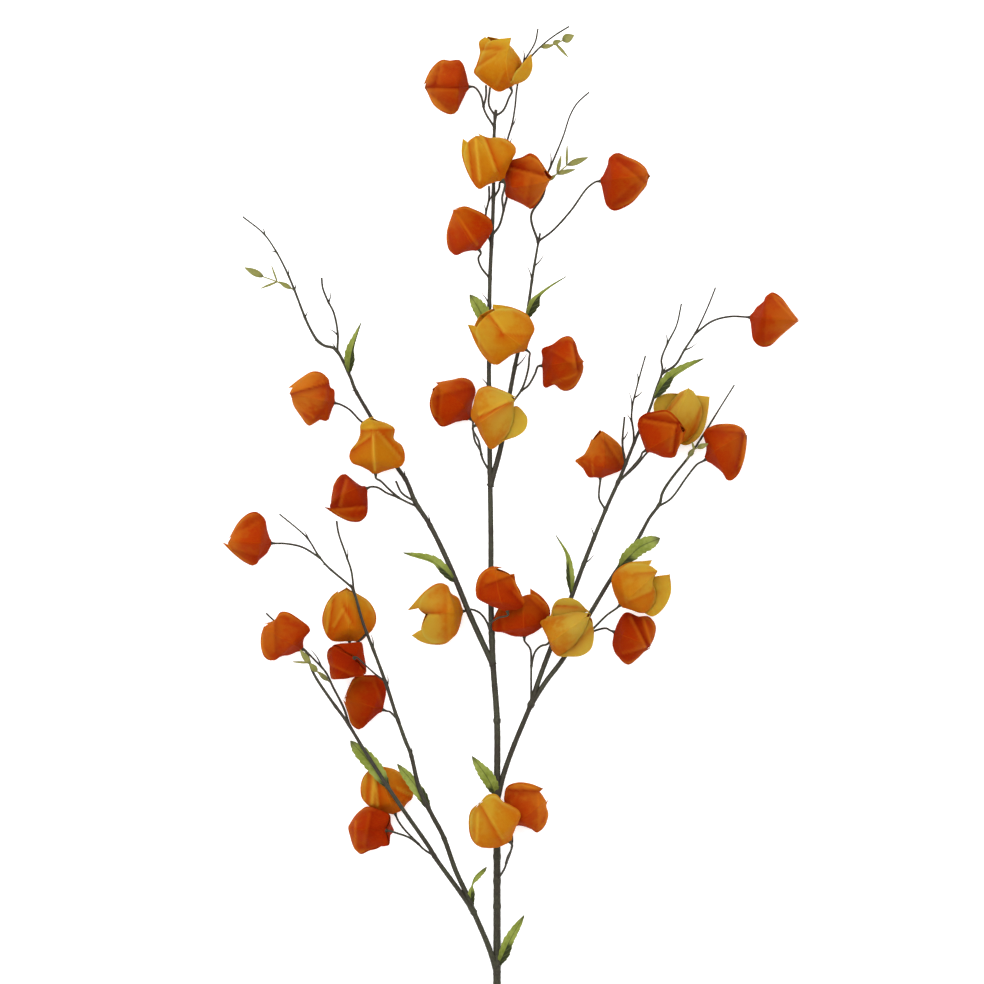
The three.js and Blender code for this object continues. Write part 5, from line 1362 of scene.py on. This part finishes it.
# Share along a petal, then: cover, apart and ahead. Cover is how far the petal reaches from its
# own keel towards the next one.
PETAL_SHAPE = (
    (0.0, 0.3, 0.0, 1.3), (0.1, 0.5, 0.6, 1.2), (0.2, 0.56, 1.0, 1.0), (0.4, 0.57, 1.0, 0.8),
    (0.55, 0.57, 1.0, 0.3), (0.7, 0.56, 1.0, 0.0), (0.8, 0.53, 1.0, 0.0), (0.9, 0.45, 1.0, 0.0),
    (0.96, 0.3, 1.0, 0.0), (1.0, 0.04, 1.0, 0.0),
)

# Waves over one share: of a petal's two edges, its outline, its crumples and its pleats.
EDGE_WAVES = ((2, 3.3), (2.4, 3))
OUTLINE_WAVES = (4, 7)
CRUMPLE_WAVES = (3, 5.5)
PLEAT_WAVES = (2, 3.7)

# The share of its radius that a rib keeps at the last six rows of its petal and at its own end.
RIB_TAPER = np.array([1, 1, 1, 1, 1, 0.9, 0.45])

# How far ahead of the foot the peg that joins the strips reaches, and its radius there.
PEG_SHAPE = np.array(((0.2, 1.4), (1.6, 2.3), (3.0, 1.2)))


@dataclass(frozen=True)
class FoldLook:
    """How the folds shape the cloth and paint shade and highlights on it, in millimetres and shares.

    width and shade_width are how far a fold's shape and its painted shade reach. painted_shade
    and shade_rise set the painted shade of a sunk fold, raised_shade that of a raised one,
    shine, shine_off and shine_width the painted highlight beside a sunk fold, and highlight and
    highlight_rise the width of the painted highlight on the crest of a raised one.
    """

    width: float = 3.5
    shade_width: float = 5.0
    painted_shade: float = 0.3
    shade_rise: float = 0.25
    raised_shade: float = 0.1
    shine: float = 0.2
    shine_off: float = 2.5
    shine_width: float = 1.5
    worn: float = 0.5
    highlight_rise: float = 0.45


@dataclass
class Lantern:
    """One cloth lantern: four folded petals in two layers, each with a glued rib down its keel.

    The four keels are curves that leave the lantern's base, turn over at their shoulders and
    come back to the tip. A petal is a grid of shares along and across, laid from its own keel
    towards the next line on each side, which is the next keel or the waist; the upper and under
    petals lie outside and reach further round. foot is where the twig ends, and the frame's
    three directions run along the lantern, to its right and above it.

    layer is how far the two layers of cloth stand apart from the keels. puff, wave, outline,
    crumple and scatter are the shares by which a petal swells, its edge waves, its outline
    wavers, its face crumples and its tip falls short or long. Where a side petal stands away,
    under_flap, above_waist and below_waist are how much lower the lines beside it lie.
    """

    number: int
    plan: LanternPlan
    layer: float = 0.9
    thickness: float = 0.55
    outer_cover: float = 1.6
    tuck: float = 1.25
    side_soft: float = 0.08
    puff: float = 0.03
    wave: float = 0.02
    outline: float = 0.03
    scatter: float = 0.05
    crumple: float = 0.015
    under_flap: float = 10.0
    above_waist: float = 2.5
    below_waist: float = 12.0
    root_spread: float = 2.2
    tuft: float = 3.5
    rib_radius: float = 0.25
    look: FoldLook = FoldLook()
    foot: Array = field(init=False)
    length: float = field(init=False)
    frame: Array = field(init=False)

    def __post_init__(self) -> None:
        """Finds the frame, and sets a lantern without a height down on the table."""
        base, tip = on_board(self.plan.base), on_board(self.plan.tip)
        slope = math.radians(self.plan.lift)
        ahead = np.append((tip - base)[:2], 0.0)
        self.length = float(np.linalg.norm(ahead)) / math.cos(slope)
        along = unit(ahead) * math.cos(slope) + UP * math.sin(slope)
        self.frame = np.stack([along, *square_to(along)])
        self.foot = np.append(base[:2], np.nan_to_num(base[2]))
        if np.isnan(base[2]):
            lowest = min(self.petal(side)[0][..., 2].min() for side in Side)
            self.foot[2] = self.thickness / 2 - lowest

    def seed(self, side: Side) -> int:
        """Gives the number that a petal's own unevenness comes from."""
        return (self.number - 1) * 4 + side.value

    def local(self, places: tuple[Place, ...], above: Array | float = 0.0) -> Array:
        """Lays a curve from the foot through board places, in the lantern's own directions.

        Args:
            places: The places, with a height above the axis where they have a third value.
            above: The heights of the places that have none.

        Returns:
            How far ahead, to the right and above the axis its points lie, one a row.
        """
        spots = np.array([on_board(place) for place in places])
        slope = math.radians(self.plan.lift)
        level = unit(np.append(self.frame[0, :2], 0.0))[:2]
        height = np.where(np.isnan(spots[:, 2]), above, spots[:, 2])
        off = (spots - self.foot)[:, :2]
        ahead = (off @ level + height * math.sin(slope)) / math.cos(slope)
        points = np.stack([ahead, off @ self.frame[1, :2], height], axis=-1)
        return spline(np.vstack([np.zeros(3), points]))

    def keel(self, side: Side) -> Array:
        """Lays one keel, as points ahead, to the right and above, one for each petal row.

        Without places of its own a keel stands girth x (radius(s) + mouth x open(s)) off the
        axis at the share s ahead, turned to its side and rolled; the upper keel keeps that
        height over its own places. A seeded scatter makes the tips uneven.
        """
        plan = self.plan
        share, radius, opening = KEEL_SHAPE.T
        off = plan.girth * (radius + plan.mouth * opening)
        roll = math.radians(plan.turn)
        places = {Side.RIGHT: plan.right, Side.LEFT: plan.left, Side.UP: plan.over}.get(side, ())
        if places and side is Side.UP:
            at = np.arange(1, len(places) + 1) / len(places)
            line = self.local(places, plan.flat * np.interp(at, share, off))
        elif places:
            line = self.local(places)
            line[:, 2] -= line[:, 1] * math.sin(roll) * plan.flat
            line[1:, 1] += self.layer * (1 if side is Side.RIGHT else -1)
        else:
            angle = math.pi / 2 * side.value + roll
            reach = self.length * (1.0 if side.value % 2 else plan.short)
            ahead = reach * share * (1 + self.scatter * wobble(self.seed(side), 1) * opening)
            above = plan.flat * off * math.cos(angle)
            line = spline(np.stack([ahead, off * math.sin(angle), above], axis=-1))
        return spaced(line, PETAL_ROWS * travelled(line)[-1])

    def guide(self, side: Side, step: int) -> tuple[Array, Array]:
        """Finds the line that a petal reaches towards on one side, and how far it reaches.

        Args:
            side: Which petal.
            step: -1 for the side before it and 1 for the one after it.

        Returns:
            The line's points for each petal row, and the cover of each row.
        """
        plan = self.plan
        beside = Side((side.value + step) % 4)
        cover = profile(PETAL_SHAPE, PETAL_ROWS)[0]
        if beside in plan.waist:
            line = self.local(plan.waist[beside])
            cover = np.ones_like(cover)
        elif side in plan.flap:
            line = self.local(plan.flap[side])
            line[:, 2] -= 0.0 if beside is Side.UP else self.under_flap
            cover = np.ones_like(cover)
        elif side in plan.waist:
            line = self.local(plan.waist[side])
            line[:, 2] -= self.above_waist if beside is Side.UP else self.below_waist
            cover = self.tuck * np.minimum(1.0, 2 * cover)
        else:
            return self.keel(beside), cover * (1.0 if side.value % 2 else self.outer_cover)
        return spaced(line, PETAL_ROWS * travelled(line)[-1]), cover

    def folded(self, board: Array) -> tuple[Array, Array]:
        """Works out the folds of the near face at places of the board.

        A fold raises or sinks the cloth by its height x exp(-d / width), with d the distance
        from its line. Painted shade is laid by exp(-d / shade width) on its right-hand side, and
        fades four times as fast on the other. A painted highlight lies on a raised fold by
        exp(-(d / w)²), with w growing with the height, and on the left of a sunk one along a line
        beside it.

        Args:
            board: The places, in board measure, along the last axis.

        Returns:
            How far the cloth moves, and its painted shade and painted highlight.
        """
        look = self.look
        move = np.zeros(board.shape[:-1])
        # painted shade along each fold, and a painted highlight beside a sunk fold and on a raised one
        painted_shade, worn = np.zeros_like(move), np.zeros_like(move)
        for *ends, high in self.plan.folds:
            start, end = np.array(ends[:2]), np.array(ends[2:])
            way = end - start
            share = np.clip((board - start) @ way / (way @ way), 0, 1)
            gap = board - start - share[..., None] * way
            away = np.linalg.norm(gap, axis=-1)
            on_right = gap[..., 1] * way[0] - gap[..., 0] * way[1] > 0
            move += high * np.exp(-away / look.width)
            faded = np.exp(-away / np.where(on_right, look.shade_width, look.shade_width / 4))
            if high < 0:
                painted_shade += min(1.0, look.painted_shade - look.shade_rise * high) * faded
                beside = ~on_right & (share > 0) & (share < 1)
                line = np.exp(-(((away - look.shine_off) / look.shine_width) ** 2))
                worn += beside * -look.shine * high * line
            else:
                painted_shade += look.raised_shade * high * faded
                worn += np.exp(-((away / (look.worn + look.highlight_rise * high)) ** 2))
        return move, np.clip(np.stack([painted_shade, worn], axis=-1), 0, 1)

    def bulge(self, side: Side, way: Array) -> Array:
        """Gives how far a petal swells, waves at its edges, crumples and pleats, in millimetres.

        With w the share of the way to the line beside the keel and t across, the swelling goes
        by 4w(1-w), the waves of the edge by |t| cubed and the crumples by |t|.
        """
        seed = self.seed(side)
        s, t = PETAL_ROWS[:, None], PETAL_COLUMNS[None, :]
        ahead, behind = EDGE_WAVES
        edge = np.abs(t) ** 3 * np.where(t > 0, ripple(s, seed, ahead), ripple(s, seed + 0.3, behind))
        small = ripple(s + 0.35 * t, seed + 0.7, CRUMPLE_WAVES) * np.abs(t)
        pleat = ripple(0.5 * t + 0.25 * s, seed + 0.9, PLEAT_WAVES) * smooth_step(0.1, 0.4, s)
        relief = self.crumple * (small + 0.8 * pleat)
        room = np.clip(way * (1 - way), 0, 1)
        return self.plan.girth * PETAL_BODY * (self.puff * 4 * room + self.wave * edge + relief)

    def sheet(self, side: Side) -> tuple[Array, Array]:
        """Lays one petal without its folds.

        With s along and t across, a point lies the share w of the way from the petal's keel to
        the line beside it, w = cover(s) x |t|: (1 - v) x own + v x beside, where v is w rounded
        off at the keel by k, (sqrt(w^2 + k^2) - k) / (sqrt(1 + k^2) - k). The bulge and the
        layer move it outward from there.

        Args:
            side: Which of the four petals.

        Returns:
            The grid of points ahead, to the right and above the foot, and the share w of each.
        """
        s, t = PETAL_ROWS[:, None], PETAL_COLUMNS[None, :]
        apart, ahead = profile(PETAL_SHAPE, PETAL_ROWS)[[1, 2], :, None]
        inner = bool(side.value % 2)
        layer = self.layer * (-1 if inner else 1)
        (before, before_cover), (after, after_cover) = (self.guide(side, step) for step in (-1, 1))
        beside = np.where((t < 0)[..., None], before[:, None], after[:, None])
        cover = np.where(t < 0, before_cover[:, None], after_cover[:, None])
        ragged = ripple(PETAL_ROWS, self.seed(side) + 0.5, OUTLINE_WAVES)[:, None] * smooth_step(0.5, 0.9, s)
        way = cover * (1 + self.outline * ragged) * np.abs(t)
        k = self.side_soft if inner else self.plan.soft
        turn = (np.sqrt(way**2 + k**2) - k) / (math.sqrt(1 + k**2) - k)
        angle = math.pi / 2 * side.value
        outward = np.array([0.0, math.sin(angle), math.cos(angle)])
        sideways = np.array([0.0, math.cos(angle), -math.sin(angle)]) * np.sign(t)[..., None]
        spread = self.root_spread * np.abs(t) * (1 - smooth_step(0.0, 0.12, s))
        off = self.bulge(side, way) * math.sqrt(0.5)
        grid = (1 - turn)[..., None] * self.keel(side)[:, None] + turn[..., None] * beside
        grid = grid + (layer * apart * (1 - turn) + off)[..., None] * outward
        grid = grid + (layer * apart * turn + off + spread)[..., None] * sideways
        grid[..., 0] -= layer * ahead
        return grid, way

    def petal(self, side: Side) -> tuple[Array, Array, Array, Array]:
        """Works out one petal: its sheet, with the folds where it lies in the near face.

        A side petal is in the near face by the half that is turned up. One that stands away is
        paler, as if it lay further towards the tip.

        Args:
            side: Which of the four petals.

        Returns:
            The grid of points, of flat measure, of shares, and of painted fold shade, painted fold highlight
            and tone of dye.
        """
        s, t = PETAL_ROWS[:, None], PETAL_COLUMNS[None, :]
        grid, way = self.sheet(side)
        points = self.foot + grid @ self.frame
        board = np.stack([points[..., 0] + BOARD_MIDDLE[0], BOARD_MIDDLE[1] - points[..., 1]], axis=-1)
        move, fold_light_and_tone = self.folded(board)
        near = {Side.UP: 1.0 + 0 * t, Side.RIGHT: -t, Side.LEFT: t, Side.UNDER: 0 * t}[side]
        near = np.clip(3 * near, 0, 1)
        points = points + (move * near * smooth_step(0.0, 0.2, s))[..., None] * self.frame[2]
        length = travelled(self.keel(side))[:, None] + 0 * t
        flat = np.stack([np.abs(t) * 20 * PETAL_BODY, length], axis=-1) / CENTIMETRE
        flank_share, pale = (0.25, 0.35) if side in self.plan.waist else (1.0, 0.0)
        flank = np.clip(1 - way if side.value % 2 else way, 0, 1) * flank_share
        shares = in_three(t, np.minimum(1.0, s + pale), flank)
        # the folds' painted shade and painted highlight, on the near face only, and the lantern's own warmth
        # of dye
        fold_light_and_tone = np.dstack([fold_light_and_tone * np.ceil(near)[..., None], np.full(fold_light_and_tone.shape[:2], self.plan.warm)])
        return points, flat, shares, fold_light_and_tone

    def build(self, finish: Material) -> None:
        """Makes the lantern's cloth and ribs and puts them in place of its node."""
        skin = Skin()
        middle = len(PETAL_COLUMNS) // 2
        for side in Side:
            grid, flat, shares, fold_light_and_tone = self.petal(side)
            thin = self.thickness * (0.55 + 0.45 * (1 - np.abs(shares[..., 0]) ** 4))
            skin.cloth(grid, thin, flat, shares, fold_light_and_tone)
            past = 1.0 + self.tuft * max(0.0, wobble(self.seed(side), 3))
            ahead = unit(grid[-1, middle] - grid[-3, middle])
            line = np.vstack([grid[-6:, middle], grid[-1, middle] + ahead * past])
            skin.round(line, self.rib_radius * RIB_TAPER, 6)
        skin.round(self.foot + np.outer(PEG_SHAPE[:, 0], self.frame[0]), PEG_SHAPE[:, 1], 10)
        fit(skin, f"lantern_{self.number:02d}", "cloth", finish)


# --- Stems ---


@dataclass(frozen=True)
class Laid:
    """A run that has its place: its centre line, its radii and the radius it ends in."""

    line: Array
    radii: Array


# A cup's outline: how far ahead of its lantern's foot, and its radius there.
CUP_SHAPE = np.array((
    (-5.2, 0.8), (-4.4, 1.15), (-3.4, 1.2), (-2.2, 1.5), (-1.0, 1.95), (-0.1, 2.1), (0.6, 1.9),
    (0.9, 1.2),
))

# Waves of a run's unevenness over the length below, in millimetres.
BARK_WAVES = (1.3, 2.9, 5.1)
BARK_WAVE_LENGTH = 30


@dataclass
class Branch:
    """One moulded branch: round runs that grow out of each other, with spurs, knuckles and cups.

    A run's radius goes from that of its root to that of its end by the share of its length to
    the power of its taper, and is never below the thinnest. It swells a little where a spur or
    another run grows out, and flares into what it grows from. Runs thicker than thick have more
    sides. A run that carries a lantern ends in a dark cup.
    """

    name: str
    runs: dict[str, Run]
    spurs: dict[str, tuple[tuple[Place, Place], ...]]
    knuckles: tuple[tuple[float, float, float], ...] = ()
    pitch: float = 1.6
    least_steps: int = 8
    cup_length: float = 5.0
    spur_radius: float = 0.85
    spur_point: float = 0.12
    spur_bend: float = 0.06
    thinnest: float = 0.85
    thick: float = 1.5
    lobes: float = 0.03
    uneven: float = 0.04
    flare: float = 0.5
    flare_length: float = 2.0
    swell: float = 0.16
    swell_length: float = 2.4
    laid: dict[str, Laid] = field(default_factory=dict)

    def lay(self, others: dict[str, Laid], lanterns: list[Lantern]) -> None:
        """Finds each run's line, from the runs that carry it and the lanterns it carries."""
        for key, run in self.runs.items():
            points = np.array([on_board(place) for place in run.path])
            carrier = others.get(run.on) if run.on and "." in run.on else self.laid.get(run.on)
            if carrier:
                points[0] = nearest(carrier.line, run.path[0])
            if run.to:
                lantern = lanterns[run.to - 1]
                for back in (self.cup_length, FIT_GAP):
                    points = np.vstack([points, lantern.foot - lantern.frame[0] * back])
            line = spline(levelled(points))
            total = travelled(line)[-1]
            places = np.linspace(0, total, max(self.least_steps, int(total / self.pitch)))
            share = places / total
            root, end = run.radii
            radii = np.maximum(root + (end - root) * share**run.taper, self.thinnest)
            self.laid[key] = Laid(spaced(line, places), radii)
            others[f"{self.name}.{key}"] = self.laid[key]

    def swollen(self, key: str) -> Array:
        """Gives a run's radii with what stands out of them.

        Each spur or run that grows out adds a share of the radius that falls off as
        exp(-(d / swell length)²) with the distance d, the root flares as exp(-d / flare length),
        and a slow ripple makes the rest uneven. A knuckle raises the radius to its own over its
        length.
        """
        laid = self.laid[key]
        along = travelled(laid.line)
        growing = [root for root, _ in self.spurs.get(key, ())]
        growing += [run.path[0] for run in self.runs.values() if run.on == key]
        waver = ripple(along / BARK_WAVE_LENGTH, len(along), BARK_WAVES)
        radii = laid.radii * (1 + self.uneven * waver)
        for root in growing:
            gap = np.linalg.norm(laid.line - nearest(laid.line, root), axis=1)
            radii = radii + laid.radii * self.swell * np.exp(-((gap / self.swell_length) ** 2))
        if self.runs[key].on:
            radii = radii + laid.radii * self.flare * np.exp(-along / self.flare_length)
        if key == "stem":
            for v, radius, length in self.knuckles:
                gap = np.abs(laid.line[:, 1] - (BOARD_MIDDLE[1] - v)) / (length / 2)
                radii = radii + (radius - laid.radii) * np.exp(-(gap**4))
        return radii

    def spur(self, skin: Skin, key: str, root: Place, point: Place) -> None:
        """Adds a bud spur: a cone that bends a little from its run to a sharp point."""
        start, end = nearest(self.laid[key].line, root), on_board(point)
        bend = np.cross(unit(end - start), UP) * self.spur_bend * np.linalg.norm(end - start)
        line = spline(np.stack([start, (start + end) / 2 + bend, end]), 5)
        share = np.linspace(0, 1, len(line))
        skin.round(line, self.spur_radius * (1 - share) ** 0.75 + self.spur_point, 8)

    def cup(self, skin: Skin, lantern: Lantern) -> None:
        """Adds the cup that holds a lantern: a flared socket with a rounded lip."""
        curve = spline(CUP_SHAPE, 3)
        skin.round(lantern.foot + np.outer(curve[:, 0], lantern.frame[0]), curve[:, 1], 14)

    def build(self, finish: Material, lanterns: list[Lantern]) -> None:
        """Makes the branch's bark and puts it in place of its node."""
        skin = Skin()
        for key, run in self.runs.items():
            laid = self.laid[key]
            line = laid.line.copy()
            line[:, 2] = np.maximum(line[:, 2], laid.radii)
            skin.round(line, self.swollen(key), 16 if run.radii[0] > self.thick else 10, self.lobes)
            if run.to:
                self.cup(skin, lanterns[run.to - 1])
            for root, point in self.spurs.get(key, ()):
                self.spur(skin, key, root, point)
        fit(skin, self.name, "bark", finish)


# --- Leaves and sprigs ---


LEAF_STATIONS = (0.0, 0.12, 0.3, 0.5, 0.7, 0.88, 1.0)
LEAF_WAVES = (1.5, 2.6)


@dataclass
class Leaf:
    """One toothed leaf, folded along its midrib, with a sunk vein to each tooth.

    Each half's width runs smoothly through its plan's values at the leaf stations. Each tooth
    takes some of it away behind its point, and leans towards the leaf's tip. vein and midrib
    are the depth and the height of these lines, soft rounds the fold off, and droop and curl
    are the shares of the width by which the edges hang and wave.
    """

    number: int
    plan: LeafPlan
    teeth: int = 9
    rows_per_tooth: int = 5
    columns: int = 17
    edge: float = 0.4
    least: float = 0.2
    tooth: float = 0.16
    lean: float = 0.125
    soft: float = 0.004
    soft_depth: float = 0.063
    vein: float = 0.12
    midrib: float = 0.2
    droop: float = 0.08
    curl: float = 0.05
    thickness: float = 0.5
    rib_radius: float = 0.45
    rib_drop: float = 0.25

    def grid(self, root: Array) -> tuple[Array, Array, Array, Array]:
        """Works out the leaf's points, its flat measure, its shares and its midrib."""
        line = shoot_line(self.plan.rib, root)
        rows = self.teeth * self.rows_per_tooth + 1
        s = np.linspace(0, 1, rows)[:, None]
        t = np.linspace(-1, 1, self.columns)[None, :]
        spine = spaced(line, s[:, 0] * travelled(line)[-1])
        along = unit(np.gradient(spine, axis=0))
        side, above = square_to(along)
        halves = (self.edge, *self.plan.left, self.edge), (self.edge, *self.plan.right, self.edge)
        left, right = profile(tuple(zip(LEAF_STATIONS, *halves)), s[:, 0])[..., None]
        whole = np.where(t < 0, left, right)
        bite = self.tooth * (1 - (s * self.teeth) % 1.0) * np.abs(t) ** 4
        width = np.maximum(whole * (1 - bite), self.least)
        soft = np.sqrt(t**2 + self.soft) - self.soft_depth
        phase = (s * self.teeth - VEIN_SLANT * np.abs(t) + 0.5) % 1.0 - 0.5
        relief = -self.vein * np.exp(-((phase / 0.12) ** 2)) * np.abs(t) ** 0.5
        relief = relief + self.midrib * np.exp(-((t / 0.06) ** 2))
        curl = self.curl * whole * np.abs(t) ** 3 * ripple(s + 0.2 * t, self.number, LEAF_WAVES)
        high = width * (soft * math.tan(math.radians(self.plan.fold)) - self.droop * t**2)
        high = high + relief + curl
        grid = spine[:, None] + along[:, None] * (self.lean * whole * t**2)[..., None]
        grid = grid + side[:, None] * (width * t)[..., None] + above[:, None] * high[..., None]
        flat = np.stack([width * t, travelled(spine)[:, None] + 0 * t], axis=-1) / CENTIMETRE
        return grid, flat, in_three(t, s), spine

    def painted_light_and_tone(self, shares: Array) -> Array:
        """Gives the share of painted shade in each half, and none of the other two."""
        across, along = shares[..., 0], shares[..., 1]
        left, right = (
            1 - smooth_step(until - 0.08, until + 0.04, along) if until else 0 * along
            for until in self.plan.dark
        )
        return in_three(np.where(across < 0, left, right), 0.0)

    def build(self, finish: Material, root: Array) -> None:
        """Makes the leaf with its stalk and puts it in place of its node."""
        skin = Skin()
        grid, flat, shares, spine = self.grid(root)
        skin.cloth(grid, self.thickness, flat, shares, self.painted_light_and_tone(shares))
        reach = np.linspace(1, 0.25, len(spine))
        skin.round(spine - UP * self.rib_drop, self.rib_radius * reach, 8)
        fit(skin, f"leaf_{self.number:02d}", "cloth", finish)


@dataclass
class Sprig:
    """One small moulded sprig: a thin stalk with narrow pointed blades, cupped along their ribs.

    slim is the share of its half width that a blade keeps, least its smallest half width, and
    cup and bow are the shares of width and length by which it is cupped and bowed.
    """

    number: int
    plan: SprigPlan
    stalk_radii: tuple[float, float] = (0.8, 0.65)
    rise: float = 2.0
    edge: float = 0.3
    slim: float = 0.75
    least: float = 0.8
    cup: float = 0.35
    bow: float = 0.06
    thickness: float = 0.6

    def blade(self, line: Array, base: Place, tip: Place, half: float) -> tuple[Array, ...]:
        """Works out one blade, whose half width goes by sin(pi s^0.8) with s along it."""
        start = nearest(line, base)
        end = on_board((*tip[:2], start[2] + self.rise))
        s, t = np.linspace(0, 1, 15)[:, None], np.linspace(-1, 1, 7)[None, :]
        length = float(np.linalg.norm(end - start))
        along = unit(end - start)
        side, above = square_to(along)
        widest = max(self.slim * half, self.least)
        width = self.edge + (widest - self.edge) * np.maximum(np.sin(np.pi * s**0.8), 0)
        high = self.cup * width * t**2 + self.bow * length * np.sin(np.pi * s)
        grid = start + along * (length * s)[..., None] + side * (width * t)[..., None]
        grid = grid + above * high[..., None]
        flat = np.stack([width * t, length * s + 0 * t], axis=-1) / CENTIMETRE
        return grid, flat, in_three(t, s)

    def build(self, finish: Material, root: Array) -> None:
        """Makes the stalk and the blades and puts them in place of the node."""
        line = shoot_line(self.plan.stalk, root)
        skin = Skin()
        skin.round(line, np.linspace(*self.stalk_radii, len(line)), 8)
        for base, tip, half in self.plan.blades:
            grid, flat, shares = self.blade(line, base, tip, half)
            skin.cloth(grid, self.thickness, flat, shares)
        fit(skin, f"sprig_{self.number:02d}", "blades", finish)


# --- Studio ---


@dataclass
class Studio:
    """A pale floor, soft light from above and a camera that looks straight down, in metres."""

    reach: float = 6.0
    sky: float = 1.1
    lamp_power: float = 75.0
    lamp_size: float = 2.5
    lamp_place: tuple[float, float, float] = (-0.35, 0.9, 2.9)
    camera_height: float = 9.7
    frame_width: float = 0.984
    frame_middle: Place = (492.0, 492.0)
    film: float = 36.0

    def floor(self, finish: Material) -> None:
        """Lays the floor just under the part."""
        mesh = bpy.data.meshes.new("floor")
        corners = [(x * self.reach, y * self.reach, 0) for x, y in ((-1, -1), (1, -1), (1, 1), (-1, 1))]
        mesh.from_pydata(corners, [], [(0, 1, 2, 3)])
        mesh.materials.append(finish)
        floor = add_object("floor", mesh)

    def light(self) -> None:
        """Sets an even pale sky and one large soft lamp above the top of the spray."""
        scene = bpy.context.scene
        scene.world = bpy.data.worlds.new("pale_sky")
        scene.world.use_nodes = True
        sky = scene.world.node_tree.nodes["Background"]
        sky.inputs["Color"].default_value = (1.0, 1.0, 1.0, 1.0)
        sky.inputs["Strength"].default_value = self.sky
        lamp = bpy.data.lights.new("soft_lamp", "AREA")
        lamp.energy = self.lamp_power
        lamp.size = self.lamp_size
        holder = add_object("soft_lamp", lamp)
        holder.location = self.lamp_place
        holder.rotation_euler = (-Vector(self.lamp_place)).to_track_quat("-Z", "Y").to_euler()
        scene.view_settings.view_transform = "Standard"

    def camera(self) -> None:
        """Sets the camera over the board, far enough off to see it almost without perspective."""
        u, v = self.frame_middle
        lens = bpy.data.cameras.new("camera")
        lens.lens = self.film * self.camera_height / self.frame_width
        lens.sensor_width = self.film
        lens.clip_end = 50.0
        holder = add_object("camera", lens)
        holder.location = ((u - BOARD_MIDDLE[0]) * MM, (BOARD_MIDDLE[1] - v) * MM, self.camera_height)
        bpy.context.scene.camera = holder


# --- The spray ---


def main() -> None:
    """Builds the spray's pieces in order, and the studio round them."""
    effects = Effects(mottle_group(), weave_group(), grain_group())
    finishes = {finish: finish.value.material(effects) for finish in Finish}
    studio = Studio()
    studio.camera()
    studio.light()
    studio.floor(finishes[Finish.FLOOR])

    lanterns = [Lantern(number, plan) for number, plan in enumerate(LANTERNS, 1)]
    cloths = {Hue.RED: finishes[Finish.RED], Hue.AMBER: finishes[Finish.AMBER]}
    for lantern in lanterns:
        lantern.build(cloths[lantern.plan.hue])

    laid: dict[str, Laid] = {}
    branches = {
        name: Branch(name, runs, SPURS[name], KNUCKLES.get(name, ()))
        for name, runs in BRANCHES.items()
    }
    for branch in branches.values():
        branch.lay(laid, lanterns)
        branch.build(finishes[Finish.BARK], lanterns)

    def root_on(branch: str, place: Place) -> Array:
        """Finds where a shoot leaves its branch."""
        lines = [run.line for run in branches[branch].laid.values()]
        return nearest(np.vstack(lines), place)

    for number, plan in enumerate(LEAVES, 1):
        Leaf(number, plan).build(finishes[Finish.LEAF], root_on(plan.branch, plan.rib[0]))
    for number, plan in enumerate(SPRIGS, 1):
        Sprig(number, plan).build(finishes[Finish.SPRIG], root_on(plan.branch, plan.stalk[0]))


if __name__ == "__main__":
    logging.basicConfig(level=logging.INFO, format="%(name)s: %(message)s")
    main()
